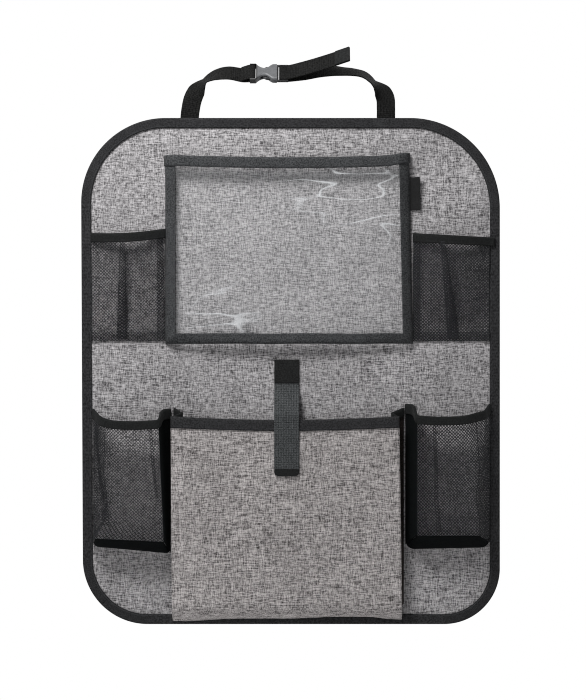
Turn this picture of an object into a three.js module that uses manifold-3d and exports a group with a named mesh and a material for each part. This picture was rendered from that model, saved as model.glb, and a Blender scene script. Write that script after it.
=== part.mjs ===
// Car seat back organizer: a hanging fabric panel with pockets and a headrest strap.
// Millimetres. +X is right and +Z is up, seen from the front. The front faces -Y.
// The origin is the centre of the panel's back face, which lies on the seat at y = 0.
import * as THREE from 'three';
import { mergeVertices } from 'three/addons/utils/BufferGeometryUtils.js';
import Module from 'manifold-3d';

const wasm = await Module();
wasm.setup();

// Panel and its binding
const panelWidth = 429.8;
const panelHeight = 520;
const panelThickness = 3.2;
const topLeftRadius = 86;
const topRightRadius = 91.5;
const bottomLeftRadius = 66;
const bottomRightRadius = 56.5;
const bottomLeftInset = 1.7;
const bindingWidth = 9.4;
const tapeThickness = 0.7;
const pressedEdge = 1.2;
const seamGap = 0.3;
const panelTaper = 4;

// Sheets
const netThickness = 0.8;
const clothThickness = 1.2;
const filmThickness = 0.4;

// Window pocket
const windowLeft = 128.7;
const windowRight = 121.7;
const windowFlare = 4.4;
const windowBelowPanelTop = 38.5;
const windowHeight = 193.1;
const windowTape = 10.3;
const windowRise = 9;
const windowDroop = 2.6;
const windowCurl = 2.5;
const filmUnderTape = 0.8;
const mouthBlend = 48;
const mouthLevel = 15;
const labelWidth = 11;
const labelHeight = 34;
const labelBelowWindowTop = 22.5;
const labelThickness = 1;

// Upper net pockets
const upperBelowPanelTop = 119;
const upperHeight = 110;
const upperTape = 8.2;
const upperHem = 9.5;
const upperPuff = 9;
const leftUpperTilt = 4.5;
const leftUpperDroop = 2.3;
const rightUpperTilt = -4.4;
const rightUpperDroop = 0.4;
const pleatWidth = 8.5;
const pleatRise = 1.2;
const leftPleatAcross = 0.43;
const rightPleatAcross = 0.45;
const tapeOverBinding = 4;

// Net pattern
const meshAcross = 7.2;
const meshUp = 9;
const strandShare = 0.27;

// Lower net pockets
const lowerTape = 7.8;
const lowerDepth = 24;
const lowerSag = 1.5;
const leftPocketInner = 123.8;
const leftPocketFrontInner = 133.6;
const leftPocketFrontOuter = 194;
const leftPocketAbovePanelBottom = 73;
const leftPocketHeight = 136;
const leftPocketSeamRise = 11;
const leftPocketFloorRise = 9;
const rightPocketInner = 118.6;
const rightPocketFrontInner = 129;
const rightPocketFrontOuter = 193.5;
const rightPocketAbovePanelBottom = 76.7;
const rightPocketHeight = 136.8;
const rightPocketSeamRise = 11;
const rightPocketFloorRise = 13.8;
const gussetFold = 2.5;

// Centre pocket
const centreLeft = 122.9;
const centreRight = 111.6;
const centreFlare = 3;
const centreHeight = 207;
const centreDroop = 3.6;
const centreAbovePanelBottom = 5;
const centreDepth = 19;
const centreBelly = 2.5;
const centreTape = 10;
const centreBottomCurve = 15;
const foldDepth = 9;
const foldTapeRise = 9;
const foldTapeWidth = 8;
const gussetSpread = 3.2;

// Closure strap
const closureWidth = 25.6;
const closureCentre = -3.9;
const closureAbovePocket = 59.9;
const closureLength = 119.5;
const closureThickness = 1.6;
const closureSewn = 25;
const closureOverhang = 5;
const closureCorner = 4;
const anchorThickness = 0.9;

// Headrest strap
const webWidth = 19;
const webThickness = 1.2;
const webTongue = 22;
const leftStrapFoot = -104;
const rightStrapFoot = 98.5;
const strapCrown = 47.1;
const strapTilt = THREE.MathUtils.degToRad(38);
const tailLength = 64;
const tailLift = 25;

// Buckle
const buckleCentre = -24.4;
const socketLength = 21;
const socketBarLength = 7;
const socketWidth = 23;
const socketNeck = 18;
const socketWaist = 10.4;
const socketMouth = 21.5;
const waistX = -1.6;
const mouthStraight = 3.5;
const socketThickness = 8;
const socketBarThickness = 4;
const socketRound = 2.4;
const socketRoundHeight = 1.7;
const cavityHeight = 3.6;
const cavityWidth = 17.4;
const cavityEnd = -6.5;
const plugThickness = 2.8;
const plugBase = 11;
const plugWidth = 22.2;
const plugWall = 1.2;
const plugClearance = 0.4;
const armWidth = 2.4;
const armSpread = 6.2;
const tongueWidth = 3.6;
const barWidth = 4.2;
const slotLength = 2.2;
const slotClearance = 0.4;

const panelTop = panelHeight / 2;
const windowTop = panelTop - windowBelowPanelTop;
const windowBottom = windowTop - windowHeight;
const upperBottom = panelTop - upperBelowPanelTop - upperHeight;
const centreBottom = panelTop - centreAbovePanelBottom;
const centreTop = centreBottom - centreHeight;
const closureTop = closureAbovePocket - centreTop;
const closureBottom = closureTop - closureLength;
const panelFront = -panelThickness;
const layerGap = seamGap + tapeThickness;
const panelEdgeBack = -layerGap;
const panelEdgeFront = panelEdgeBack - pressedEdge;

const colours = {
  cloth: '#8b8786', binding: '#1b1b1c', net: '#2b2b2c', film: '#dfe4e8',
  webbing: '#161617', socket: '#5c5d5f', plug: '#1e1e1f', label: '#101010',
};

const organizer = new THREE.Group();

/** Adds a named piece with its own plain material. */
function addPiece(name, geometry, colour, roughness = 0.9, metalness = 0) {
  const material = new THREE.MeshStandardMaterial({ color: colour, roughness, metalness });
  const piece = new THREE.Mesh(geometry, material);
  piece.name = name;
  organizer.add(piece);
  return piece;
}

/** A number eased from 0 to 1 as value goes from low to high. */
function ease(value, low, high) {
  return THREE.MathUtils.smoothstep(value, low, high);
}

/** The value at fraction t of a list of evenly numbered stops. */
function pick(stops, t) {
  const place = THREE.MathUtils.clamp(t, 0, 1) * (stops.length - 1);
  const index = Math.min(Math.floor(place), stops.length - 2);
  return THREE.MathUtils.lerp(stops[index], stops[index + 1], place - index);
}

/** Stops from first to last, with the given number of equal steps. */
function spread(first, last, steps) {
  return Array.from({ length: steps + 1 }, (_, i) => THREE.MathUtils.lerp(first, last, i / steps));
}

/** The point at x and z, standing off the panel's front face. */
function offPanel(x, z, standOff) {
  return new THREE.Vector3(x, panelFront - standOff, z);
}

/** The unit normal of a surface given by its point at u and v. */
function normalAt(middle, u, v) {
  const step = 0.004;
  const lowU = Math.max(0, u - step);
  const lowV = Math.max(0, v - step);
  const alongU = middle(Math.min(1, u + step), v).sub(middle(lowU, v));
  const alongV = middle(u, Math.min(1, v + step)).sub(middle(u, lowV));
  return alongU.cross(alongV).normalize();
}

/** Bends a flat geometry, x and y from 0 to 1 and z from -0.5 to 0.5, onto a surface. */
function bendOnto(geometry, thickness, middle) {
  const places = geometry.attributes.position;
  for (let i = 0; i < places.count; i += 1) {
    const u = places.getX(i);
    const v = places.getY(i);
    const point = middle(u, v);
    point.addScaledVector(normalAt(middle, u, v), places.getZ(i) * thickness);
    places.setXYZ(i, point.x, point.y, point.z);
  }
  geometry.deleteAttribute('uv');
  geometry.deleteAttribute('normal');
  const merged = mergeVertices(geometry, 1e-4);
  merged.computeVertexNormals();
  return merged;
}

/** A closed sheet of even thickness whose middle surface is given. */
function sheet(columns, rows, thickness, middle) {
  const flat = new THREE.BoxGeometry(1, 1, 1, columns, rows, 1);
  flat.translate(0.5, 0.5, 0);
  return bendOnto(flat, thickness, middle);
}

/** A closed loft: place(station, point) puts each point of a flat outline in space. */
function loft(outline, stations, place, closed = false) {
  const vertices = stations.flatMap((station) => outline.map((point) => place(station, point)));
  const size = outline.length;
  const faces = [];
  const spans = closed ? stations.length : stations.length - 1;
  for (let i = 0; i < spans; i += 1) {
    const here = i * size;
    const next = ((i + 1) % stations.length) * size;
    for (let j = 0; j < size; j += 1) {
      const k = (j + 1) % size;
      faces.push([here + j, next + j, next + k], [here + j, next + k, here + k]);
    }
  }
  if (!closed) {
    const last = (stations.length - 1) * size;
    const caps = THREE.ShapeUtils.triangulateShape(outline, []);
    caps.forEach(([a, b, c]) => {
      faces.push([a, b, c], [last + c, last + b, last + a]);
    });
  }
  return closedSolid(vertices, faces);
}

/** A geometry from points and triangles, with its faces turned outward. */
function closedSolid(vertices, faces) {
  const volume = faces.reduce((sum, [a, b, c]) => {
    const normal = vertices[b].clone().cross(vertices[c]);
    return sum + vertices[a].dot(normal);
  }, 0);
  const outward = volume > 0 ? faces : faces.map(([a, b, c]) => [a, c, b]);
  const geometry = new THREE.BufferGeometry();
  geometry.setAttribute('position', new THREE.Float32BufferAttribute(
    vertices.flatMap((vertex) => vertex.toArray()), 3));
  geometry.setIndex(outward.flat());
  geometry.computeVertexNormals();
  return geometry;
}

/** The U-shaped outline of a tape folded over an edge: x across the sheet, y down from the edge. */
function foldOutline(sheetThickness, width, frontExtra = 0) {
  const inner = sheetThickness / 2 + seamGap;
  const outer = inner + tapeThickness;
  return [
    [-outer, width], [-outer, -layerGap], [outer + frontExtra, -layerGap], [outer + frontExtra, width],
    [inner + frontExtra, width], [inner + frontExtra, -seamGap], [-inner, -seamGap], [-inner, width],
  ].map(([x, y]) => new THREE.Vector2(x, y));
}

/** A tape folded over the top edge of a surface, following it down on both sides. */
function foldedTape(middle, height, outline, stations) {
  return loft(outline, stations, (u, { x, y }) => {
    const inside = THREE.MathUtils.clamp(u, 0, 1);
    const v = 1 - Math.max(0, y) / height;
    const point = middle(inside, v).addScaledVector(normalAt(middle, inside, v), x);
    const beyond = middle(1, 1).sub(middle(0, 1)).multiplyScalar(u - inside);
    point.add(beyond);
    point.z += Math.max(0, -y);
    return point;
  });
}

/** The part of the panel's outline on one side, bottom, right, top or left, moved inward. */
function rimPoint(side, along, inset) {
  const corners = [
    [-1, -1, bottomLeftRadius, bottomLeftInset], [1, -1, bottomRightRadius, 0],
    [1, 1, topRightRadius, 0], [-1, 1, topLeftRadius, 0],
  ].map(([sx, sz, radius, shift]) => ({
    x: sx * (panelWidth / 2 - radius - shift), z: sz * (panelTop - radius), radius,
  }));
  const start = corners[side];
  const end = corners[(side + 1) % corners.length];
  const outwardAngle = -Math.PI / 2 + side * (Math.PI / 2);
  const onCorner = (corner, angle) => new THREE.Vector2(
    corner.x + (corner.radius - inset) * Math.cos(angle),
    corner.z + (corner.radius - inset) * Math.sin(angle));
  if (along < 0.25) return onCorner(start, outwardAngle - (Math.PI / 4) * (1 - along * 4));
  if (along > 0.75) return onCorner(end, outwardAngle + (Math.PI / 4) * (along * 4 - 3));
  return onCorner(start, outwardAngle).lerp(onCorner(end, outwardAngle), along * 2 - 0.5);
}

const rimSteps = 16;

/** The padded panel: rings of its outline, pressed thin where the binding grips it. */
function makePanel() {
  const box = new THREE.BoxGeometry(2, 2, 1, rimSteps, rimSteps, 1);
  const places = box.attributes.position;
  const ringStep = 2 / rimSteps;
  const gripInset = bindingWidth + seamGap + 0.2;
  for (let i = 0; i < places.count; i += 1) {
    const x = places.getX(i);
    const y = places.getY(i);
    const ring = Math.max(Math.abs(x), Math.abs(y));
    const gripped = ring > 1 - ringStep * 1.5;
    const flatPoint = ringPoint(x, y, ring, ringStep, gripInset);
    const back = gripped ? panelEdgeBack : 0;
    const front = gripped ? panelEdgeFront : panelFront;
    places.setXYZ(i, flatPoint.x, places.getZ(i) > 0 ? front : back, flatPoint.y);
  }
  box.deleteAttribute('uv');
  box.deleteAttribute('normal');
  const merged = mergeVertices(box, 1e-4);
  merged.computeVertexNormals();
  return merged;
}

/** Where a point of the square grid lies on the panel. */
function ringPoint(x, y, ring, ringStep, gripInset) {
  if (ring < ringStep / 2) return new THREE.Vector2(0, 0);
  const onBottom = y <= -ring + 1e-6;
  const onRight = x >= ring - 1e-6;
  const onTop = y >= ring - 1e-6;
  const side = onBottom ? 0 : (onRight ? 1 : (onTop ? 2 : 3));
  const travel = [x, y, -x, -y][side] / ring;
  const along = (travel + 1) / 2;
  if (ring > 1 - ringStep / 2) return rimPoint(side, along, 0);
  if (ring > 1 - ringStep * 1.5) return rimPoint(side, along, gripInset);
  const scale = ring / (1 - 2 * ringStep);
  return rimPoint(side, along, gripInset + panelTaper).multiplyScalar(scale);
}

/** Black tape folded round the panel's edge, with legs on both faces. */
function makeBinding() {
  const inner = seamGap;
  const outline = [
    [bindingWidth, 0], [-layerGap, 0], [-layerGap, panelFront], [bindingWidth, panelFront],
    [bindingWidth, panelEdgeFront - inner], [-inner, panelEdgeFront - inner],
    [-inner, panelEdgeBack + inner], [bindingWidth, panelEdgeBack + inner],
  ].map(([x, y]) => new THREE.Vector2(x, y));
  const stations = [0, 1, 2, 3].flatMap((side) => (
    spread(0, 1, rimSteps).slice(0, -1).map((along) => ({ side, along }))));
  return loft(outline, stations, ({ side, along }, { x, y }) => {
    const point = rimPoint(side, along, x);
    return new THREE.Vector3(point.x, y, point.y);
  }, true);
}

const sheetSeat = seamGap + tapeThickness / 2;
const slopeStretch = Math.hypot(windowRise, windowTape) / windowTape;
const filmBehindTape = (tapeThickness / 2 + seamGap * 1.6 + filmThickness / 2) * slopeStretch;
const mouthSeat = filmBehindTape + filmThickness / 2 + layerGap + seamGap;

/** The right edge of the window pocket, which widens downward. */
function windowRightAt(z) {
  return windowRight + windowFlare * (windowTop - z) / windowHeight;
}

/** The height of the window pocket's free top edge. */
function windowTopAt(x) {
  const t = (x + windowLeft) / (windowRight + windowLeft);
  return windowTop - windowDroop * Math.sin(Math.PI * t) + windowCurl * ease(t, 0.9, 1);
}

/** How far the window pocket's tapes stand off the panel. */
function windowStandOff(x, z) {
  const seat = THREE.MathUtils.lerp(sheetSeat, mouthSeat,
    ease(z, windowTop - mouthBlend, windowTop - mouthLevel));
  const inward = Math.min(x + windowLeft, windowRightAt(z) - x, z - windowBottom);
  return seat + windowRise * THREE.MathUtils.clamp(inward / windowTape, 0, 1);
}

/** The window pocket: clear film held by tapes on three sides, open under its top tape. */
function addWindowPocket() {
  const sideFoot = windowBottom + windowTape + seamGap;
  const sideTopBelow = layerGap + seamGap;
  const slope = (x, z) => offPanel(x, z, windowStandOff(x, z));
  addPiece('tablet_left_tape', sheet(2, 8, tapeThickness, (u, v) => {
    const x = -windowLeft + u * windowTape;
    const z = THREE.MathUtils.lerp(sideFoot, windowTopAt(x) - sideTopBelow, v);
    return slope(x, z);
  }), colours.binding);
  addPiece('tablet_right_tape', sheet(2, 8, tapeThickness, (u, v) => {
    const z = THREE.MathUtils.lerp(sideFoot, windowTopAt(windowRight) - sideTopBelow - windowCurl, v);
    return slope(windowRightAt(z) - (1 - u) * windowTape, z);
  }), colours.binding);
  const lowRight = windowRightAt(windowBottom);
  const across = [
    -windowLeft, -windowLeft + windowTape / 2,
    ...spread(-windowLeft + windowTape, lowRight - windowTape, 6),
    lowRight - windowTape / 2, lowRight,
  ];
  addPiece('tablet_bottom_tape', sheet(across.length - 1, 2, tapeThickness, (u, v) => (
    slope(pick(across, u), windowBottom + v * windowTape))), colours.binding);

  const filmLow = windowBottom + windowTape - filmUnderTape;
  const rows = [
    filmLow, filmLow + filmUnderTape, ...spread(filmLow + 40, windowTop - mouthBlend, 2),
    ...spread(windowTop - mouthBlend, windowTop - mouthLevel, 3).slice(1), windowTop - layerGap,
  ];
  const film = (u, v) => {
    const level = pick(rows, v);
    const left = -windowLeft + windowTape;
    const right = windowRightAt(level) - windowTape;
    const x = pick([left - filmUnderTape, ...spread(left, right, 8), right + filmUnderTape], u);
    const z = level + (windowTopAt(x) - windowTop) * ease(level, windowTop - 60, windowTop - mouthLevel);
    return offPanel(x, z, windowStandOff(x, z) - filmBehindTape);
  };
  addPiece('tablet_window', sheet(10, rows.length - 1, filmThickness, film), colours.film, 0.15);

  const topEdge = (u, v) => {
    const x = pick([-windowLeft, -windowLeft + windowTape / 2,
      ...spread(-windowLeft + windowTape, windowRight - windowTape, 7),
      windowRight - windowTape / 2, windowRight], u);
    const z = windowTopAt(x) - layerGap - (1 - v) * windowTape;
    return offPanel(x, z, windowStandOff(x, Math.min(z, windowTop)) - filmBehindTape);
  };
  const filmToTape = (tapeThickness + seamGap) * slopeStretch;
  addPiece('tablet_top_tape', foldedTape(topEdge, windowTape,
    foldOutline(filmThickness, windowTape - layerGap, filmToTape), spread(0, 1, 11)), colours.binding);

  addPiece('side_label', sheet(2, 3, labelThickness, (u, v) => {
    const z = windowTop - labelBelowWindowTop - (1 - v) * labelHeight;
    const curl = 1.6 * u * u;
    return offPanel(windowRightAt(z) + seamGap + u * labelWidth, z,
      windowStandOff(windowRightAt(z), z) + curl);
  }), colours.label);
}

/** The corners of one cell of a net, in order, with the places where its strands start. */
function cellOutline(i, j, isSolid) {
  const corners = [[i, j], [i + 1, j], [i + 1, j + 1], [i, j + 1]];
  const beyond = [[i, j - 1], [i + 1, j], [i, j + 1], [i - 1, j]];
  const solid = isSolid(i, j);
  const isKnot = ([a, b]) => (a + b) % 2 !== 0;
  return corners.flatMap((corner, side) => {
    const next = corners[(side + 1) % 4];
    const [knot, centre] = isKnot(corner) ? [corner, next] : [next, corner];
    const reach = strandShare;
    const mark = knot.map((value, axis) => THREE.MathUtils.lerp(value, centre[axis], reach));
    const keepCorner = solid || isKnot(corner);
    const keepMark = !solid || !isSolid(...beyond[side]);
    return [...(keepCorner ? [corner] : []), ...(keepMark ? [mark] : [])];
  });
}

/** A net of diamond openings: each cell is solid or crossed by one slanting strand. */
function netSheet(columns, rows, isMargin, middle) {
  const isSolid = (i, j) => (
    i <= 0 || j <= 0 || i >= columns - 1 || j >= rows - 1 || isMargin((i + 0.5) / columns, (j + 0.5) / rows));
  const flat = [];
  const numbers = new Map();
  const vertexOf = ([x, y]) => {
    const key = `${x.toFixed(4)} ${y.toFixed(4)}`;
    if (!numbers.has(key)) {
      numbers.set(key, flat.length);
      flat.push(new THREE.Vector2(x / columns, y / rows));
    }
    return numbers.get(key);
  };
  const triangles = [];
  for (let i = 0; i < columns; i += 1) {
    for (let j = 0; j < rows; j += 1) {
      const outline = cellOutline(i, j, isSolid);
      const ring = outline.map(([x, y]) => new THREE.Vector2(x, y));
      const marks = outline.map(vertexOf);
      THREE.ShapeUtils.triangulateShape(ring, []).forEach((face) => (
        triangles.push(face.map((corner) => marks[corner]))));
    }
  }
  return thickenFlat(flat, triangles, middle);
}

/** A closed sheet from flat triangles: both faces, and walls along every free edge. */
function thickenFlat(flat, triangles, middle) {
  const side = (offset) => flat.map(({ x, y }) => (
    middle(x, y).addScaledVector(normalAt(middle, x, y), offset * netThickness / 2)));
  const vertices = [...side(1), ...side(-1)];
  const count = flat.length;
  const edges = new Set(triangles.flatMap(([a, b, c]) => [`${a} ${b}`, `${b} ${c}`, `${c} ${a}`]));
  const faces = triangles.flatMap(([a, b, c]) => [[a, b, c], [c + count, b + count, a + count]]);
  edges.forEach((edge) => {
    const [a, b] = edge.split(' ').map(Number);
    if (edges.has(`${b} ${a}`)) return;
    faces.push([b, a, a + count], [b, a + count, b + count]);
  });
  return closedSolid(vertices, faces);
}

const netSeat = seamGap + netThickness / 2;
const netMouthSeat = netThickness / 2 + layerGap + seamGap;

/** An upper net pocket between the binding and the window pocket. */
function addUpperPocket(name, { fromX, toX, pleatAcross, overBinding, tilt, droop }) {
  const width = toX - fromX;
  const height = upperHeight;
  const columns = Math.round(width / meshAcross);
  const rows = Math.round(height / meshUp);
  const halfPleat = pleatWidth / 2 / width;
  const middle = (u, v) => {
    const x = THREE.MathUtils.lerp(fromX, toX, u);
    const z = upperBottom + v * (height + tilt * u - droop * Math.sin(Math.PI * u));
    const seat = THREE.MathUtils.lerp(netSeat, netMouthSeat, ease(v, 0.6, 0.85));
    const belly = upperPuff * Math.sin(Math.PI * u) * ease(v, 0, 0.75);
    const onPleat = 1 - ease(Math.abs(u - pleatAcross), halfPleat * 0.5, halfPleat * 1.5);
    return offPanel(x, z, seat + belly + pleatRise * onPleat * (ease(v, 0, 0.3) - ease(v, 0.7, 0.85)));
  };
  const isMargin = (u, v) => (
    Math.abs(u - pleatAcross) < halfPleat || v < upperHem / height || v > 1 - upperTape / height);
  addPiece(`${name}_net`, netSheet(columns, rows, isMargin, middle), colours.net);
  const ends = overBinding > 0 ? [1 + overBinding / width] : [];
  addPiece(`${name}_tape`, foldedTape(middle, height, foldOutline(netThickness, upperTape),
    [...spread(0, 1, columns), ...ends]), colours.binding);
}

/** A surface ruled from a line on the panel to a line on the front, pleated inward halfway. */
function gussetSurface(panelLine, frontLine, foldX, foldZ = 0) {
  return (u, v) => {
    const fold = 1 - Math.abs(2 * u - 1);
    const point = panelLine(v).lerp(frontLine(v), u);
    point.x += foldX * fold * v;
    point.z += foldZ * fold;
    return point;
  };
}

/** A lower net pocket: a net front, a gusset at each side, a floor and a tape round its mouth. */
function addLowerPocket(name, size) {
  const frontSeat = size.depth;
  const clear = 1.3;
  const outward = Math.sign(size.outer);
  const frontX = (t) => THREE.MathUtils.lerp(size.frontOuter, size.frontInner, t);
  const mouthZ = size.height - size.bottom;
  const footZ = size.floorRise - size.bottom;
  const topZ = (t) => mouthZ - lowerSag * Math.sin(Math.PI * t);
  const width = Math.abs(size.frontOuter - size.frontInner);
  const height = mouthZ - footZ;
  const frontPoint = (t, v) => {
    const z = THREE.MathUtils.lerp(footZ, topZ(t), v);
    const belowTape = Math.min(1, v / (1 - 1.2 * lowerTape / height));
    const belly = size.belly * Math.sin(Math.PI * t) * Math.sin(Math.PI * belowTape);
    return offPanel(frontX(t), z, frontSeat + belly);
  };
  const leftToRight = (u) => (outward < 0 ? u : 1 - u);
  const front = (u, v) => frontPoint(leftToRight(u), v);
  const columns = Math.round(width / meshAcross);
  const rows = Math.round(height / meshUp);
  const underTape = (u, v) => v > 1 - lowerTape / height;
  addPiece(`${name}_net`, netSheet(columns, rows, underTape, front), colours.net);

  const side = (panelX, t, foldX) => {
    const seamZ = (v) => THREE.MathUtils.lerp(-size.bottom + 2, mouthZ + size.seamRise, v);
    const panelLine = (v) => offPanel(panelX, seamZ(v),
      THREE.MathUtils.lerp(netSeat, netMouthSeat, ease(v, 0.7, 0.9)));
    const frontLine = (v) => {
      const corner = frontPoint(t, v);
      const seam = panelLine(v);
      const reach = corner.clone().sub(seam);
      return seam.addScaledVector(reach, 1 - clear / reach.length());
    };
    return gussetSurface(panelLine, frontLine, foldX);
  };
  const outerSide = side(size.outer, 0, 0);
  const innerSide = side(size.inner, 1, outward * gussetFold);
  addPiece(`${name}_outer_gusset`, sheet(4, 6, netThickness, outerSide), colours.net);
  addPiece(`${name}_inner_gusset`, sheet(4, 6, netThickness, innerSide), colours.net);

  const floorInset = -outward * (netThickness + seamGap);
  const floorPanel = (t) => offPanel(
    THREE.MathUtils.lerp(size.outer + floorInset, size.inner - floorInset, t), -size.bottom, netSeat);
  const floorFront = (t) => {
    const corner = frontPoint(t, 0);
    corner.x += THREE.MathUtils.lerp(floorInset, -floorInset, t);
    const seam = floorPanel(t);
    const reach = corner.sub(seam);
    return seam.addScaledVector(reach, 1 - clear / reach.length());
  };
  addPiece(`${name}_floor`, sheet(6, 3, netThickness, (u, v) => (
    floorPanel(leftToRight(u)).lerp(floorFront(leftToRight(u)), v))), colours.net);
  addPiece(`${name}_tape`, roundTape(outerSide, innerSide, frontPoint), colours.binding);
}

/** A tape folded over a pocket's whole top edge: one gusset, the front, the other gusset. */
function roundTape(outerSide, innerSide, frontPoint) {
  const path = [
    outerSide(0, 1), outerSide(0.5, 1),
    ...spread(0, 1, 6).map((t) => frontPoint(t, 1)),
    innerSide(0.5, 1), innerSide(0, 1),
  ];
  const flatNormal = (a, b) => new THREE.Vector2(-(b.y - a.y), b.x - a.x).normalize();
  const stations = path.map((point, i) => {
    const before = flatNormal(path[Math.max(0, i - 1)], path[Math.max(1, i)]);
    const after = flatNormal(path[Math.min(i, path.length - 2)], path[Math.min(i + 1, path.length - 1)]);
    const mitre = before.clone().add(after).normalize();
    mitre.divideScalar(mitre.dot(after));
    return { point, mitre };
  });
  return loft(foldOutline(netThickness, lowerTape), stations, ({ point, mitre }, { x, y }) => (
    new THREE.Vector3(point.x + mitre.x * x, point.y + mitre.y * x, point.z - y)));
}

const clothSeat = seamGap + clothThickness / 2;

/** How far the centre pocket's front stands off the panel at a height. */
function centreStandOff(u, z) {
  const above = THREE.MathUtils.clamp((z + centreBottom) / centreBottomCurve, 0, 1);
  const rounded = Math.sqrt(1 - (1 - above) ** 2);
  const up = THREE.MathUtils.clamp((z + centreBottom) / (centreBottom - centreTop), 0, 1);
  const belly = centreBelly * Math.sin(Math.PI * u) * Math.sin(Math.PI * up);
  return clothSeat + (centreDepth - clothSeat) * rounded + belly;
}

/** The left or right edge of the centre pocket's front. */
function centreEdge(right, z) {
  const drop = THREE.MathUtils.clamp((-centreTop - z) / (centreBottom - centreTop), 0, 1);
  return right ? centreRight + centreFlare * drop : -centreLeft + centreFlare / 2 * drop;
}

/** The grey middle pocket: a front that curves in at its foot, and two folded gussets. */
function addCentrePocket() {
  const topAt = (u) => -centreTop - centreDroop * Math.sin(Math.PI * u);
  const levels = [0, 0.008, 0.02, 0.04, 0.07, ...spread(0.15, 1, 6)];
  const front = (u, v) => {
    const z = THREE.MathUtils.lerp(-centreBottom, topAt(u), pick(levels, v));
    const x = THREE.MathUtils.lerp(centreEdge(false, z), centreEdge(true, z), u);
    return offPanel(x, z, centreStandOff(u, z));
  };
  addPiece('centre_front', sheet(8, levels.length - 1, clothThickness, front), colours.cloth, 0.95);
  const straight = (u, v) => {
    const z = topAt(u) - (1 - v) * centreTape * 2;
    return offPanel(THREE.MathUtils.lerp(centreEdge(false, z), centreEdge(true, z), u), z,
      centreStandOff(u, z));
  };
  addPiece('centre_tape', foldedTape(straight, centreTape * 2,
    foldOutline(clothThickness, centreTape), spread(0, 1, 8)), colours.binding);
  addCentreSide('centre_left', false);
  addCentreSide('centre_right', true);
}

/** One folded gusset of the centre pocket, with the tape over its top edge. */
function addCentreSide(name, right) {
  const inward = right ? -1 : 1;
  const behindFront = clothThickness / 2 + tapeThickness + seamGap * 2 + netThickness / 2;
  const foot = -centreBottom + centreBottomCurve;
  const seamX = right ? centreRight + gussetSpread : -centreLeft + gussetSpread;
  const mouth = THREE.MathUtils.lerp(netMouthSeat, netMouthSeat + seamGap, 1);
  const panelLine = (v) => offPanel(seamX,
    THREE.MathUtils.lerp(foot, -centreTop + foldTapeRise, v), THREE.MathUtils.lerp(netSeat, mouth, v));
  const frontLine = (v) => {
    const z = THREE.MathUtils.lerp(foot, -centreTop, v);
    return offPanel(centreEdge(right, z) + inward * 1.2, z,
      centreStandOff(0, z) - behindFront - seamGap - tapeThickness);
  };
  const surface = gussetSurface(panelLine, frontLine, inward * foldDepth);
  const steps = [0, 0.25, 0.5, 0.75, 1];
  addPiece(`${name}_gusset`, sheet(steps.length - 1, 5, netThickness, surface), colours.cloth, 0.95);
  addPiece(`${name}_fold_tape`, foldedTape(surface, centreBottom - centreTop,
    foldOutline(netThickness, foldTapeWidth), steps), colours.binding);
}

/** The closure strap, sewn above the centre pocket and laid down over its front. */
function addClosure() {
  const anchorSeat = seamGap + closureThickness / 2;
  const overTape = clothThickness / 2 + layerGap + seamGap + closureThickness / 2;
  const overCloth = clothThickness / 2 + seamGap * 2 + closureThickness / 2;
  const pocketTop = -centreTop - centreDroop;
  const standOff = (z) => {
    const rise = ease(-z, closureSewn - closureTop, -pocketTop - closureOverhang);
    const settle = ease(-z, -pocketTop + centreTape + 2, -pocketTop + centreTape + 16);
    const left = centreEdge(false, z);
    const u = (closureCentre - left) / (centreEdge(true, z) - left);
    const onFront = centreStandOff(u, Math.min(z, pocketTop));
    return THREE.MathUtils.lerp(anchorSeat, onFront + overTape, rise) - settle * (overTape - overCloth);
  };
  const tip = closureBottom + closureCorner;
  const levels = [
    closureBottom, closureBottom + closureCorner * 0.15, closureBottom + closureCorner * 0.5,
    tip, ...spread(tip, -centreTop, 7).slice(1), ...spread(-centreTop, closureTop - closureSewn, 7).slice(1),
    closureTop,
  ];
  addPiece('closure_strap', sheet(2, levels.length - 1, closureThickness, (u, v) => {
    const z = pick(levels, v);
    const intoCorner = THREE.MathUtils.clamp(1 - (z - closureBottom) / closureCorner, 0, 1);
    const width = closureWidth - 2 * closureCorner * (1 - Math.sqrt(1 - intoCorner ** 2));
    return offPanel(closureCentre + (u - 0.5) * width, z, standOff(z));
  }), colours.webbing);
  const anchorOff = closureThickness / 2 + seamGap + anchorThickness / 2;
  addPiece('closure_anchor', sheet(1, 1, anchorThickness, (u, v) => (
    offPanel(closureCentre + (u - 0.5) * closureWidth, closureTop - (1 - v) * (closureSewn - 1),
      anchorSeat + anchorOff))), colours.webbing);
}

const acrossAxis = new THREE.Vector3(0, Math.sin(strapTilt), Math.cos(strapTilt));
const edgeOnAxis = new THREE.Vector3(0, 0.95, 0.2);
const buckleNormal = new THREE.Vector3(0, -Math.cos(strapTilt), Math.sin(strapTilt));
const strapBack = seamGap + webThickness / 2;
const crownZ = panelTop + strapCrown;

/** A flat strap along points, each with its turn: 0 upright, 0.5 nearly edge-on and 1 level. */
function strapSolid(footAxis, stops) {
  const curve = new THREE.CatmullRomCurve3(stops.map(({ point }) => point), false, 'centripetal');
  const section = [[-1, -1], [1, -1], [1, 1], [-1, 1]].map(([x, y]) => (
    new THREE.Vector2(x * webWidth / 2, y * webThickness / 2)));
  const nearEdgeOn = footAxis.clone().multiplyScalar(0.25).add(edgeOnAxis);
  return loft(section, spread(0, 1, (stops.length - 1) * 3), (t, { x, y }) => {
    const turn = pick(stops.map((stop) => stop.turn), t);
    const along = curve.getTangent(t);
    const width = turn < 0.5
      ? footAxis.clone().lerp(nearEdgeOn, turn * 2) : nearEdgeOn.clone().lerp(acrossAxis, turn * 2 - 1);
    width.addScaledVector(along, -width.dot(along)).normalize();
    const normal = along.clone().cross(width);
    return curve.getPoint(t).addScaledVector(width, x).addScaledVector(normal, y);
  });
}

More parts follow.
